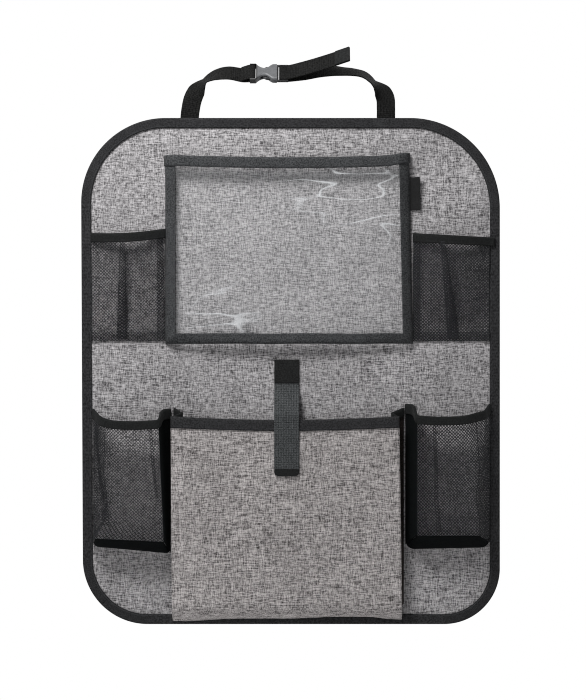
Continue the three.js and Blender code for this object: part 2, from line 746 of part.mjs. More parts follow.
/** A stop of a strap's route, shifted along the buckle's face normal by lift. */
function stop(x, z, turn, lift = 0) {
  const point = new THREE.Vector3(x, strapBack, z).addScaledVector(buckleNormal, lift);
  return { point, turn };
}

const socketEnd = -socketLength / 2;
const socketSlot = socketEnd - socketBarLength + barWidth + slotLength / 2;
const socketLift = socketBarThickness / 2 + webThickness / 2 + seamGap;
const plugStart = socketLength / 2 + plugClearance;
const plugSlot = plugStart + plugWall + slotLength / 2;
const plugBar = plugBase - plugWall - slotLength;
const plugLift = plugThickness / 2 + webThickness / 2 + seamGap;

/** Stops that carry a strap behind a bar, through the slot beside it and back in front. */
function turnRoundBar(slotX, away, lift, barLength) {
  const past = slotLength / 2 + barLength + seamGap;
  const steps = [
    [past, -1], [1, -1], [0.35, -0.8], [0.1, -0.5], [0, 0], [0.1, 0.5], [0.35, 0.8], [1, 1], [past, 1],
  ];
  return steps.map(([back, side]) => stop(slotX + away * back, crownZ, 1, side * lift));
}

/** The two lengths of webbing that close over the headrest posts. */
function addStraps() {
  const left = leftStrapFoot;
  const socketX = buckleCentre + socketSlot;
  addPiece('left_strap', strapSolid(new THREE.Vector3(-1, 0, 0), [
    stop(left, panelTop - webTongue, 0), stop(left - 0.2, panelTop - 2, 0),
    stop(left + 0.6, panelTop + 8, 0), stop(left + 3, panelTop + 20, 0.03),
    stop(left + 7, panelTop + 29, 0.14), stop(left + 11.5, panelTop + 35.5, 0.34),
    stop(left + 15.5, panelTop + 39.5, 0.5), stop(left + 20.5, panelTop + 42.8, 0.66),
    stop(left + 26.5, panelTop + 45.4, 0.79), stop(left + 34, crownZ, 0.89),
    stop(left + 42, crownZ + 0.5, 0.95, -0.5), stop(socketX - 13, crownZ, 1, -socketLift),
    ...turnRoundBar(socketX, -1, socketLift, barWidth),
    stop(socketX - 14, crownZ, 1, seamGap + webThickness - socketLift),
  ]), colours.webbing);

  const right = rightStrapFoot;
  const plugX = buckleCentre + plugSlot;
  const tail = [0.2, 0.4, 0.6, 0.8, 1].map((t) => (
    stop(plugX + 8 + tailLength * t, crownZ + 1.5 * t, 1, plugLift + tailLift * (t ** 1.2))));
  addPiece('right_strap', strapSolid(new THREE.Vector3(1, 0, 0), [
    stop(right, panelTop - webTongue, 0), stop(right, panelTop - 2, 0),
    stop(right, panelTop + 12, 0), stop(right - 0.5, panelTop + 21, 0.03),
    stop(right - 3.5, panelTop + 28, 0.15), stop(right - 8, panelTop + 33.5, 0.33),
    stop(right - 12.5, panelTop + 37.5, 0.48), stop(right - 16, panelTop + 41, 0.56),
    stop(right - 19.5, panelTop + 44, 0.6), stop(right - 24, panelTop + 46.4, 0.63),
    stop(right - 29.5, panelTop + 47.8, 0.65), stop(right - 37, panelTop + 48.8, 0.69),
    stop(right - 44.3, panelTop + 49.2, 0.72), stop(right - 53.5, panelTop + 49.8, 0.79),
    stop(right - 68.5, panelTop + 49.6, 0.9, -0.5), stop(plugX + 26, panelTop + 48.3, 1, -1.5),
    ...turnRoundBar(plugX, 1, plugLift, plugBar), ...tail,
  ]), colours.webbing);
}

/** A closed mesh as a solid that can be cut or joined. */
function solidOf(geometry) {
  const bare = geometry.clone();
  bare.deleteAttribute('uv');
  bare.deleteAttribute('normal');
  const merged = mergeVertices(bare, 1e-4);
  return new wasm.Manifold(new wasm.Mesh({
    numProp: 3,
    vertProperties: new Float32Array(merged.attributes.position.array),
    triVerts: new Uint32Array(merged.index.array),
  }));
}

/** The geometry of a solid. */
function geometryOf(solid) {
  const mesh = solid.getMesh();
  const geometry = new THREE.BufferGeometry();
  geometry.setAttribute('position', new THREE.BufferAttribute(mesh.vertProperties, mesh.numProp));
  geometry.setIndex(new THREE.BufferAttribute(mesh.triVerts, 1));
  return geometry;
}

/** A box between two corners, as a solid for cutting. */
function cutter(low, high) {
  const box = new THREE.BoxGeometry(high[0] - low[0], high[1] - low[1], high[2] - low[2]);
  box.translate((low[0] + high[0]) / 2, (low[1] + high[1]) / 2, (low[2] + high[2]) / 2);
  return solidOf(box);
}

/** Half the socket's width at x: a bar, a neck, a waist that shows the arms, and a wide mouth. */
function socketHalfAt(x) {
  const neckX = socketEnd + 1;
  const waist = socketWaist / 2;
  if (x < neckX) return THREE.MathUtils.mapLinear(Math.max(x, socketEnd - 1), socketEnd - 1, neckX,
    socketWidth / 2, socketNeck / 2);
  if (x < waistX) return waist + (socketNeck / 2 - waist) * ((waistX - x) / (waistX - neckX)) ** 2;
  return THREE.MathUtils.lerp(waist, socketMouth / 2, ease(x, waistX, socketLength / 2 - mouthStraight));
}

/** The buckle's socket: a waisted grey shell with a bar for the webbing. */
function makeSocket() {
  const barEnd = socketEnd - socketBarLength;
  const mouth = socketLength / 2;
  const half = socketWidth / 2;
  const edge = socketThickness / 2 - socketRoundHeight;
  const cornerShare = 1 - Math.SQRT1_2;
  const quarter = [
    [half, edge], [half - socketRound * cornerShare, edge + socketRoundHeight * Math.SQRT1_2],
    [half - socketRound, socketThickness / 2],
  ];
  const upper = [...quarter, ...quarter.map(([x, y]) => [-x, y]).reverse()];
  const section = [...upper, ...upper.map(([x, y]) => [x, -y]).reverse()];
  const stations = [
    barEnd, socketEnd - 1, ...spread(socketEnd + 1, waistX, 4),
    ...spread(waistX, mouth - mouthStraight, 7).slice(1), mouth,
  ];
  const body = loft(section.map(([x, y]) => new THREE.Vector2(x, y)), stations, (station, { x, y }) => (
    new THREE.Vector3(station, Math.sign(x) * (socketHalfAt(station) - half + Math.abs(x)), y)));
  const halfSlot = webWidth / 2 + slotClearance;
  const slotLow = barEnd + barWidth;
  const high = socketThickness;
  const bar = socketBarThickness / 2;
  const shell = solidOf(body)
    .subtract(cutter([slotLow, -halfSlot, -high], [slotLow + slotLength, halfSlot, high]))
    .subtract(cutter([barEnd - 1, -halfSlot, bar], [slotLow + 1, halfSlot, high]))
    .subtract(cutter([barEnd - 1, -halfSlot, -high], [slotLow + 1, halfSlot, -bar]))
    .subtract(cutter([cavityEnd, -cavityWidth / 2, -cavityHeight / 2],
      [mouth + 1, cavityWidth / 2, cavityHeight / 2]));
  return geometryOf(shell);
}

/** The buckle's plug: a base with a webbing slot, a guide tongue and two sprung arms. */
function makePlug() {
  const half = plugWidth / 2;
  const end = plugStart + plugBase;
  const reach = cavityWidth / 2 - seamGap;
  const arm = armSpread - armWidth / 2;
  const inside = cavityEnd + plugClearance;
  const upper = [
    [end, half], [plugStart, half], [plugStart, armSpread + armWidth / 2], [4, armSpread + armWidth / 2],
    [3, reach], [-1, reach - 0.6], [-4, arm + 0.6], [-3.5, arm], [plugStart, arm],
    [plugStart, tongueWidth / 2], [inside, tongueWidth / 2],
  ];
  const lower = upper.map(([x, y]) => [x, -y]).reverse();
  const outline = new THREE.Shape([...upper, ...lower].map(([x, y]) => new THREE.Vector2(x, y)));
  const halfSlot = webWidth / 2 + slotClearance;
  const slotLow = plugStart + plugWall;
  const flat = new THREE.ExtrudeGeometry(outline, { depth: plugThickness, bevelEnabled: false });
  flat.translate(0, 0, -plugThickness / 2);
  const body = solidOf(flat)
    .subtract(cutter([slotLow, -halfSlot, -plugThickness], [slotLow + slotLength, halfSlot, plugThickness]));
  return geometryOf(body);
}

/** The buckle, turned with its face up and forward like the webbing that it joins. */
function addBuckle() {
  const socket = addPiece('buckle_socket', makeSocket(), colours.socket, 0.5);
  const plug = addPiece('buckle_plug', makePlug(), colours.plug, 0.45);
  [socket, plug].forEach((piece) => {
    piece.position.set(buckleCentre, strapBack, crownZ);
    piece.rotation.x = Math.PI / 2 - strapTilt;
  });
}

addPiece('back_panel', makePanel(), colours.cloth, 0.95);
addPiece('panel_binding', makeBinding(), colours.binding);
addWindowPocket();

const bindingInner = panelWidth / 2 - bindingWidth - seamGap;
addUpperPocket('upper_left', {
  fromX: -bindingInner, toX: -windowLeft - seamGap, pleatAcross: leftPleatAcross,
  overBinding: 0, tilt: leftUpperTilt, droop: leftUpperDroop,
});
addUpperPocket('upper_right', {
  fromX: windowRight + windowFlare + seamGap, toX: bindingInner, pleatAcross: rightPleatAcross,
  overBinding: tapeOverBinding, tilt: rightUpperTilt, droop: rightUpperDroop,
});
addLowerPocket('lower_left', {
  outer: -(bindingInner - bottomLeftInset - seamGap), inner: -leftPocketInner,
  frontOuter: -leftPocketFrontOuter, frontInner: -leftPocketFrontInner,
  bottom: panelTop - leftPocketAbovePanelBottom, height: leftPocketHeight,
  seamRise: leftPocketSeamRise, floorRise: leftPocketFloorRise, depth: lowerDepth, belly: 3,
});
addLowerPocket('lower_right', {
  outer: bindingInner, inner: rightPocketInner,
  frontOuter: rightPocketFrontOuter, frontInner: rightPocketFrontInner,
  bottom: panelTop - rightPocketAbovePanelBottom, height: rightPocketHeight,
  seamRise: rightPocketSeamRise, floorRise: rightPocketFloorRise, depth: lowerDepth, belly: 1.5,
});
addCentrePocket();
addClosure();
addStraps();
addBuckle();

export default organizer;
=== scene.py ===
"""Car seat back organizer: cloth panel, net pockets, window pocket, webbing strap and buckle."""
import logging
import math
from collections.abc import Callable, Iterable, Sequence
from dataclasses import dataclass
from enum import Enum

import bmesh
import bpy
from mathutils import Matrix, Vector, noise


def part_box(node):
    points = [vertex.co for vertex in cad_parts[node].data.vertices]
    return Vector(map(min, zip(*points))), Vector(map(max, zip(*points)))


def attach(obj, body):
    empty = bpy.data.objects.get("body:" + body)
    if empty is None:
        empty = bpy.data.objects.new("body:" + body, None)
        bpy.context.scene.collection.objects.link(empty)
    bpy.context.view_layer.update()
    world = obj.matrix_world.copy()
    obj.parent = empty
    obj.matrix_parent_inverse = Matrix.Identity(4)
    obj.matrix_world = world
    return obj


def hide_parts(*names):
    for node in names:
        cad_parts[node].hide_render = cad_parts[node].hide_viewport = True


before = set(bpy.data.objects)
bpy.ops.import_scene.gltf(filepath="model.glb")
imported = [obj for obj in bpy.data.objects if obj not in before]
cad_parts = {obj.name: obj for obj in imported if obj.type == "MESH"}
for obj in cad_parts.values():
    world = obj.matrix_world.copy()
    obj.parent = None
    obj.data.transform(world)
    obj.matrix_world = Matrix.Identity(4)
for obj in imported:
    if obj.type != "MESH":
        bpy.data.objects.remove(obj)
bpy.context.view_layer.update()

LOG = logging.getLogger("organizer")
MM = 0.001
BODY = "root"

Place = Callable[[float, float], Vector]
Line = Callable[[float], tuple[Vector, Vector]]


class Slot(Enum):
    """The material slots of the part."""

    CLOTH = "melange_cloth"
    TAPE = "binding_tape"
    NET = "pocket_net"
    FILM = "window_film"
    WEBBING = "webbing"
    LABEL = "label_ribbon"
    SOCKET = "socket_plastic"
    PLUG = "plug_plastic"


class Hold(Enum):
    """How a sheet of cloth is held."""

    HUNG = "hung"
    FOLDED = "folded"
    STRETCHED = "stretched"


def ease(value: float, low: float, high: float) -> float:
    """Smooth step of a value between two limits.

    Args:
        value: The number to place.
        low: Where the step starts.
        high: Where the step ends.

    Returns:
        A number from 0 to 1.
    """
    t = min(1.0, max(0.0, (value - low) / (high - low)))
    return t * t * (3 - 2 * t)


def mix(first: float, last: float, t: float) -> float:
    """A number between first and last."""
    return first + (last - first) * t


def ripple(x: float, z: float, scale: float, seed: float = 0.0) -> float:
    """Soft noise from -1 to 1 at a place on the cloth.

    Args:
        x: Millimetres across.
        z: Millimetres up.
        scale: Size of the ripples in millimetres.
        seed: Moves the pattern.

    Returns:
        The noise value.
    """
    return noise.noise(Vector((x / scale + seed, z / scale - seed, seed * 1.7)))


# Driving sizes, in millimetres

PANEL_LOW, PANEL_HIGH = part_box("back_panel")
PANEL_WIDTH = (PANEL_HIGH.x - PANEL_LOW.x) / MM
PANEL_HEIGHT = (PANEL_HIGH.z - PANEL_LOW.z) / MM
PANEL_FRONT = PANEL_LOW.y / MM
BINDING_WIDTH = 9.4
TAPE_THICKNESS = 0.7
CORNER_RADII = (66.0, 56.5, 91.5, 86.0)
CORNER_SHIFTS = (1.7, 0.0, 0.0, 0.0)


def off_panel(x: float, z: float, stand_off: float) -> Vector:
    """A point in metres that stands off the panel's front.

    Args:
        x: Millimetres across.
        z: Millimetres up.
        stand_off: Millimetres in front of the panel.

    Returns:
        The point in the row frame.
    """
    return Vector((x, PANEL_FRONT - stand_off, z)) * MM


def surface_normal(place: Place, u: float, v: float) -> Vector:
    """The unit normal of a surface, towards its front.

    Args:
        place: The surface.
        u: Share across.
        v: Share up.

    Returns:
        The unit normal.
    """
    step = 0.003
    low_u, high_u = max(0.0, u - step), min(1.0, u + step)
    low_v, high_v = max(0.0, v - step), min(1.0, v + step)
    across = place(high_u, v) - place(low_u, v)
    up = place(u, high_v) - place(u, low_v)
    return across.cross(up).normalized()


# Mesh building


def finish_object(name: str, mesh: bmesh.types.BMesh, smooth: bool = True) -> bpy.types.Object:
    """Turns a bmesh into an object of the scene.

    Args:
        name: The piece's name.
        mesh: The bmesh, which is freed.
        smooth: Whether its faces are shaded smooth.

    Returns:
        The new object.
    """
    for face in mesh.faces:
        face.smooth = smooth
    data = bpy.data.meshes.new(name)
    mesh.to_mesh(data)
    mesh.free()
    piece = bpy.data.objects.new(name, data)
    bpy.context.scene.collection.objects.link(piece)
    return piece


def bent_grid(columns: int, rows: int, place: Place, size: tuple[float, float]) -> bmesh.types.BMesh:
    """A grid laid on a surface, with UVs in metres.

    Args:
        columns: Faces across.
        rows: Faces up.
        place: The surface.
        size: The sheet's flat width and height in metres, for its UVs.

    Returns:
        The bmesh.
    """
    mesh = bmesh.new()
    layer = mesh.loops.layers.uv.new("UVMap")
    bmesh.ops.create_grid(mesh, x_segments=columns, y_segments=rows, size=0.5, calc_uvs=True)
    for face in mesh.faces:
        for loop in face.loops:
            loop[layer].uv = (loop[layer].uv.x * size[0], loop[layer].uv.y * size[1])
    for vertex in mesh.verts:
        vertex.co = place(vertex.co.x + 0.5, vertex.co.y + 0.5)
    return mesh


def thicken(piece: bpy.types.Object, thickness: float) -> None:
    """Gives a surface its thickness, in millimetres, about its middle."""
    solid = piece.modifiers.new("Thickness", "SOLIDIFY")
    solid.thickness = thickness * MM
    solid.offset = 0.0
    solid.use_even_offset = True


def round_edges(piece: bpy.types.Object, width: float, segments: int = 2) -> None:
    """Rounds the sharp edges of a piece by a width in millimetres."""
    bevel = piece.modifiers.new("Rounding", "BEVEL")
    bevel.width = width * MM
    bevel.segments = segments
    bevel.limit_method = "ANGLE"
    bevel.angle_limit = math.radians(40)


def sheet_object(name: str, mesh: bmesh.types.BMesh, thickness: float,
                 rounding: float = 0.0) -> bpy.types.Object:
    """Turns a surface into a sheet.

    Args:
        name: The piece's name.
        mesh: The surface, which is freed.
        thickness: The sheet's thickness in millimetres.
        rounding: How far its edges are rounded in millimetres, if at all.

    Returns:
        The new object.
    """
    piece = finish_object(name, mesh)
    thicken(piece, thickness)
    if rounding:
        round_edges(piece, rounding)
    return piece


def dress(piece: bpy.types.Object, material: bpy.types.Material, slot: Slot, *nodes: str) -> bpy.types.Object:
    """Gives a piece its material, its body and the nodes that it stands for.

    Args:
        piece: The object.
        material: Its finish.
        slot: The record's slot that it takes its finish from; not used.
        nodes: The solids that it replaces.

    Returns:
        The same object.
    """
    piece.data.materials.clear()
    piece.data.materials.append(material)
    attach(piece, BODY)
    if nodes:
        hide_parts(*nodes)
    LOG.info("%s: %d faces", piece.name, len(piece.data.polygons))
    return piece


# Shader building


class Graph:
    """A node tree that is wired by short calls."""

    def __init__(self, tree: bpy.types.NodeTree) -> None:
        """Keeps the tree and empties it."""
        self.tree = tree
        tree.nodes.clear()

    def add(self, kind: str, inputs: dict | None = None, **settings: object) -> bpy.types.Node:
        """Adds a node.

        Args:
            kind: The node's type without its ShaderNode prefix.
            inputs: Values or sockets for its inputs, by name or number.
            settings: Its own properties.

        Returns:
            The node.
        """
        node = self.tree.nodes.new("ShaderNode" + kind)
        for key, value in settings.items():
            setattr(node, key, value)
        self.feed(node, inputs or {})
        return node

    def feed(self, node: bpy.types.Node, inputs: dict) -> None:
        """Links sockets to a node's inputs, or sets them to values."""
        for key, value in inputs.items():
            if isinstance(value, bpy.types.NodeSocket):
                self.tree.links.new(value, node.inputs[key])
            else:
                node.inputs[key].default_value = value

    def math(self, operation: str, *values: object) -> bpy.types.NodeSocket:
        """The result of a math node on sockets or numbers."""
        node = self.add("Math", dict(enumerate(values)), operation=operation)
        return node.outputs[0]

    def noise(self, vector: bpy.types.NodeSocket, scale: float, detail: float = 2.0,
              roughness: float = 0.5) -> bpy.types.NodeSocket:
        """A noise value at a vector."""
        node = self.add("TexNoise", {
            "Vector": vector, "Scale": scale, "Detail": detail, "Roughness": roughness})
        return node.outputs["Fac"]

    def stretched(self, vector: bpy.types.NodeSocket,
                  scale: tuple[float, float, float]) -> bpy.types.NodeSocket:
        """A vector scaled by different amounts along its axes."""
        node = self.add("Mapping", {"Vector": vector, "Scale": scale})
        return node.outputs["Vector"]

    def remap(self, value: bpy.types.NodeSocket, low: float, high: float,
              to_low: float = 0.0, to_high: float = 1.0) -> bpy.types.NodeSocket:
        """A value mapped from one range to another."""
        node = self.add("MapRange", {
            "Value": value, "From Min": low, "From Max": high, "To Min": to_low, "To Max": to_high})
        return node.outputs["Result"]

    def colour(self, factor: bpy.types.NodeSocket, first: object, second: object,
               blend: str = "MIX") -> bpy.types.NodeSocket:
        """Two colours mixed by a factor."""
        node = self.add("Mix", {0: factor, 6: first, 7: second}, data_type="RGBA", blend_type=blend)
        return node.outputs[2]

    def bump(self, height: bpy.types.NodeSocket, distance: float,
             strength: float = 1.0) -> bpy.types.NodeSocket:
        """A normal from a height, with the bump's depth in metres."""
        node = self.add("Bump", {"Height": height, "Distance": distance, "Strength": strength})
        return node.outputs["Normal"]

    def grey(self, value: bpy.types.NodeSocket) -> bpy.types.NodeSocket:
        """A value as an even grey."""
        return self.add("CombineXYZ", {0: value, 1: value, 2: value}).outputs[0]


def rgba(colour: Sequence[float]) -> tuple[float, float, float, float]:
    """A colour with full alpha."""
    return (colour[0], colour[1], colour[2], 1.0)


def new_group(name: str, inputs: dict[str, tuple[str, float]], outputs: dict[str, str]) -> tuple[
        bpy.types.NodeTree, Graph, bpy.types.Node, bpy.types.Node]:
    """A shader node group with named sockets.

    Args:
        name: The group's name.
        inputs: Socket kind and default for each input's name.
        outputs: Socket kind for each output's name.

    Returns:
        The tree, its graph, its input node and its output node.
    """
    tree = bpy.data.node_groups.new(name, "ShaderNodeTree")
    for key, (kind, default) in inputs.items():
        socket = tree.interface.new_socket(key, in_out="INPUT", socket_type=kind)
        if kind == "NodeSocketFloat":
            socket.default_value = default
    for key, kind in outputs.items():
        tree.interface.new_socket(key, in_out="OUTPUT", socket_type=kind)
    graph = Graph(tree)
    source = tree.nodes.new("NodeGroupInput")
    sink = tree.nodes.new("NodeGroupOutput")
    return tree, graph, source, sink


FLOAT = "NodeSocketFloat"
VECTOR = "NodeSocketVector"


def melange_group() -> bpy.types.NodeTree:
    """Threads of a melange weave: streaks both ways, a plain weave's height and broad mottling."""
    tree, graph, source, sink = new_group(
        "Melange weave",
        {"Vector": (VECTOR, 0.0), "Pitch": (FLOAT, 4400.0)},
        {"Tone": FLOAT, "Height": FLOAT, "Mottle": FLOAT})
    vector = source.outputs["Vector"]
    yarns = (
        ((0.13, 1.0, 1.0), 1200.0, 0.33), ((1.0, 1.0, 0.15), 1200.0, 0.29),
        ((0.07, 1.0, 1.0), 760.0, 0.1), ((1.0, 1.0, 0.08), 760.0, 0.1), ((1.0, 1.0, 1.0), 1200.0, 0.18))
    tone: object = 0.0
    for stretch, scale, share in yarns:
        yarn = graph.remap(graph.noise(graph.stretched(vector, stretch), scale, 1.0, 0.5), 0.4, 0.6)
        tone = graph.math("MULTIPLY_ADD", yarn, share, tone)
    parts = graph.add("SeparateXYZ", {"Vector": vector})
    ridge_x = graph.math("SINE", graph.math("MULTIPLY", parts.outputs["X"], source.outputs["Pitch"]))
    ridge_z = graph.math("SINE", graph.math("MULTIPLY", parts.outputs["Z"], source.outputs["Pitch"]))
    weave = graph.math("MULTIPLY", ridge_x, ridge_z)
    height = graph.math("ADD", graph.math("MULTIPLY", weave, 0.35), tone)
    graph.feed(sink, {"Tone": tone, "Height": height, "Mottle": graph.noise(vector, 14.0, 3.0)})
    return tree


def ribs_group() -> bpy.types.NodeTree:
    """Ribs of a woven tape or webbing, across its length, from UVs in metres."""
    tree, graph, source, sink = new_group(
        "Tape ribs",
        {"Vector": (VECTOR, 0.0), "Along": (FLOAT, 5200.0), "Across": (FLOAT, 5200.0)},
        {"Height": FLOAT, "Fuzz": FLOAT, "Tone": FLOAT})
    vector = source.outputs["Vector"]
    parts = graph.add("SeparateXYZ", {"Vector": vector})
    along = graph.math("SINE", graph.math("MULTIPLY", parts.outputs["X"], source.outputs["Along"]))
    across = graph.math("SINE", graph.math("MULTIPLY", parts.outputs["Y"], source.outputs["Across"]))
    fuzz = graph.noise(vector, 900.0, 3.0, 0.7)
    weave = graph.math("MULTIPLY", graph.math("ADD", along, 1.6), graph.math("ADD", across, 1.6))
    height = graph.math("ADD", graph.math("MULTIPLY", weave, 0.16), graph.math("MULTIPLY", fuzz, 0.35))
    lint = graph.remap(graph.noise(vector, 620.0, 2.0, 0.6), 0.38, 0.62)
    worn = graph.remap(graph.noise(vector, 95.0, 2.0, 0.5), 0.35, 0.65)
    speck = graph.math("MULTIPLY_ADD", worn, 0.15, graph.math("MULTIPLY", lint, 0.6))
    tone = graph.math("MULTIPLY_ADD", weave, 0.1, speck)
    graph.feed(sink, {"Height": height, "Fuzz": fuzz, "Tone": tone})
    return tree


class Groups:
    """The shared node groups, built once."""

    def __init__(self) -> None:
        """Builds each group."""
        self.melange = melange_group()
        self.ribs = ribs_group()


def new_material(name: str) -> tuple[bpy.types.Material, Graph, bpy.types.Node]:
    """A material with a Principled shader.

    Args:
        name: The material's name.

    Returns:
        The material, its graph and its shader node.
    """
    material = bpy.data.materials.new(name)
    material.use_nodes = True
    graph = Graph(material.node_tree)
    shader = graph.add("BsdfPrincipled")
    graph.add("OutputMaterial", {"Surface": shader.outputs["BSDF"]})
    return material, graph, shader


@dataclass(frozen=True)
class ClothFinish:
    """Grey melange cloth."""

    name: str
    dark: tuple[float, float, float]
    light: tuple[float, float, float]

    def build(self, groups: Groups) -> bpy.types.Material:
        """The cloth's material, whose weave follows the object's own coordinates."""
        material, graph, shader = new_material(self.name)
        place = graph.add("TexCoord").outputs["Object"]
        weave = graph.add("Group", node_tree=groups.melange)
        graph.feed(weave, {"Vector": place})
        tone = graph.remap(weave.outputs["Tone"], 0.12, 0.88)
        thread = graph.colour(tone, rgba(self.dark), rgba(self.light))
        mottle = graph.remap(weave.outputs["Mottle"], 0.3, 0.7, 0.9, 1.08)
        graph.feed(shader, {
            "Base Color": graph.colour(1.0, thread, graph.grey(mottle), "MULTIPLY"),
            "Roughness": graph.remap(tone, 0.0, 1.0, 0.95, 0.82),
            "Normal": graph.bump(weave.outputs["Height"], 0.0004, 0.7),
            "Specular IOR Level": 0.12,
            "Sheen Weight": 0.04,
        })
        return material


@dataclass(frozen=True)
class TapeFinish:
    """Black woven tape or webbing, whose ribs follow its UVs."""

    name: str
    dark: tuple[float, float, float]
    light: tuple[float, float, float]
    rib_pitch: float
    cross_pitch: float
    depth: float
    roughness: float = 0.75
    sheen: float = 0.03
    specular: float = 0.12

    def build(self, groups: Groups) -> bpy.types.Material:
        """The tape's material; pitches are in millimetres."""
        material, graph, shader = new_material(self.name)
        place = graph.add("TexCoord").outputs["UV"]
        ribs = graph.add("Group", node_tree=groups.ribs)
        graph.feed(ribs, {
            "Vector": place,
            "Along": 2 * math.pi / (self.rib_pitch * MM),
            "Across": 2 * math.pi / (self.cross_pitch * MM),
        })
        tone = graph.remap(ribs.outputs["Tone"], 0.1, 1.1)
        smooth, rough = self.roughness - 0.08, self.roughness + 0.1
        graph.feed(shader, {
            "Base Color": graph.colour(tone, rgba(self.dark), rgba(self.light)),
            "Roughness": graph.remap(ribs.outputs["Fuzz"], 0.3, 0.7, smooth, rough),
            "Normal": graph.bump(ribs.outputs["Height"], self.depth * MM, 0.8),
            "Specular IOR Level": self.specular,
            "Sheen Weight": self.sheen,
            "Sheen Roughness": 0.5,
        })
        return material


@dataclass(frozen=True)
class ThreadFinish:
    """Knitted thread of the net and the sewing thread."""

    name: str
    colour: tuple[float, float, float]
    lift: float = 1.8

    def build(self) -> bpy.types.Material:
        """The thread's material."""
        material, graph, shader = new_material(self.name)
        place = graph.add("TexCoord").outputs["Object"]
        fibre = graph.noise(place, 1800.0, 2.0)
        light = tuple(min(1.0, part * self.lift + 0.004) for part in self.colour)
        graph.feed(shader, {
            "Base Color": graph.colour(graph.remap(fibre, 0.35, 0.65), rgba(self.colour), rgba(light)),
            "Roughness": graph.remap(fibre, 0.3, 0.7, 0.6, 0.85),
            "Normal": graph.bump(fibre, 0.00015, 0.6),
            "Specular IOR Level": 0.2,
        })
        return material


@dataclass(frozen=True)
class FilmFinish:
    """Clear flexible film with a gloss and faint haze."""

    name: str
    tint: tuple[float, float, float]
    clear: float
    glint_alpha: float
    glint_patches: tuple[tuple[tuple[float, float, float], float], ...] = (
        ((0.035, -0.012, 0.195), 0.05), ((0.088, -0.012, 0.17), 0.05), ((-0.07, -0.012, 0.055), 0.042))

    def build(self) -> bpy.types.Material:
        """The film's material, whiter and more opaque along the soft creases of a few patches, as painted
        highlights.
        """
        material, graph, shader = new_material(self.name)
        place = graph.add("TexCoord").outputs["Object"]
        haze = graph.noise(graph.stretched(place, (1.0, 1.0, 2.6)), 11.0, 4.0, 0.6)
        turned = graph.add("Mapping", {
            "Vector": place, "Rotation": (0.0, math.radians(28), 0.0), "Scale": (0.45, 1.0, 1.5)})
        crease = graph.noise(turned.outputs["Vector"], 40.0, 0.6, 0.4)
        ridge = graph.math("ABSOLUTE", graph.math("SUBTRACT", crease, 0.5))
        line = graph.remap(ridge, 0.0, 0.022, 1.0, 0.0)
        # Painted highlights: in these patches the creases turn whiter and more opaque; their slight relief is
        # a bump.
        patch: object = 0.0
        for centre, radius in self.glint_patches:
            away = graph.add("VectorMath", {0: place, 1: centre}, operation="DISTANCE").outputs["Value"]
            patch = graph.math("MAXIMUM", patch, graph.remap(away, radius * 0.35, radius, 1.0, 0.0))
        glint_mask = graph.math("MULTIPLY", line, patch)
        height = graph.math("MULTIPLY_ADD", glint_mask, 0.1, haze)
        graph.feed(shader, {
            "Alpha": graph.remap(glint_mask, 0.0, 1.0, self.clear, self.glint_alpha),
            "Roughness": graph.remap(haze, 0.3, 0.7, 0.05, 0.16),
            "Normal": graph.bump(height, 0.004, 0.5),
            "Base Color": rgba(self.tint),
            "IOR": 1.5,
            "Specular IOR Level": 0.6,
        })
        material.surface_render_method = "BLENDED"
        return material


@dataclass(frozen=True)
class PlasticFinish:
    """Moulded plastic with a fine grain."""

    name: str
    colour: tuple[float, float, float]
    roughness: float
    shaded_end: float = -1000.0
    painted_shade: float = 0.1

    def build(self) -> bpy.types.Material:
        """The plastic's material, darkened with painted shade left of the place where the webbing loops over
        it.
        """
        material, graph, shader = new_material(self.name)
        place = graph.add("TexCoord").outputs["Object"]
        grain = graph.noise(place, 2600.0, 2.0)
        cloud = graph.noise(place, 220.0, 3.0)
        lighter = tuple(part * 1.25 for part in self.colour)
        colour = graph.colour(graph.remap(cloud, 0.35, 0.65), rgba(self.colour), rgba(lighter))
        # Painted shade: left of the webbing's loop the moulding is darkened, where the loop shades the bar's
        # end.
        across = graph.add("SeparateXYZ", {"Vector": place}).outputs["X"]
        edge, blur = self.shaded_end * MM, 0.3 * MM
        shade = graph.remap(across, edge - blur, edge + blur, self.painted_shade, 1.0)
        graph.feed(shader, {
            "Base Color": graph.colour(1.0, colour, graph.grey(shade), "MULTIPLY"),
            "Roughness": graph.remap(cloud, 0.3, 0.7, self.roughness - 0.06, self.roughness + 0.06),
            "Normal": graph.bump(grain, 0.00005, 0.5),
        })
        return material


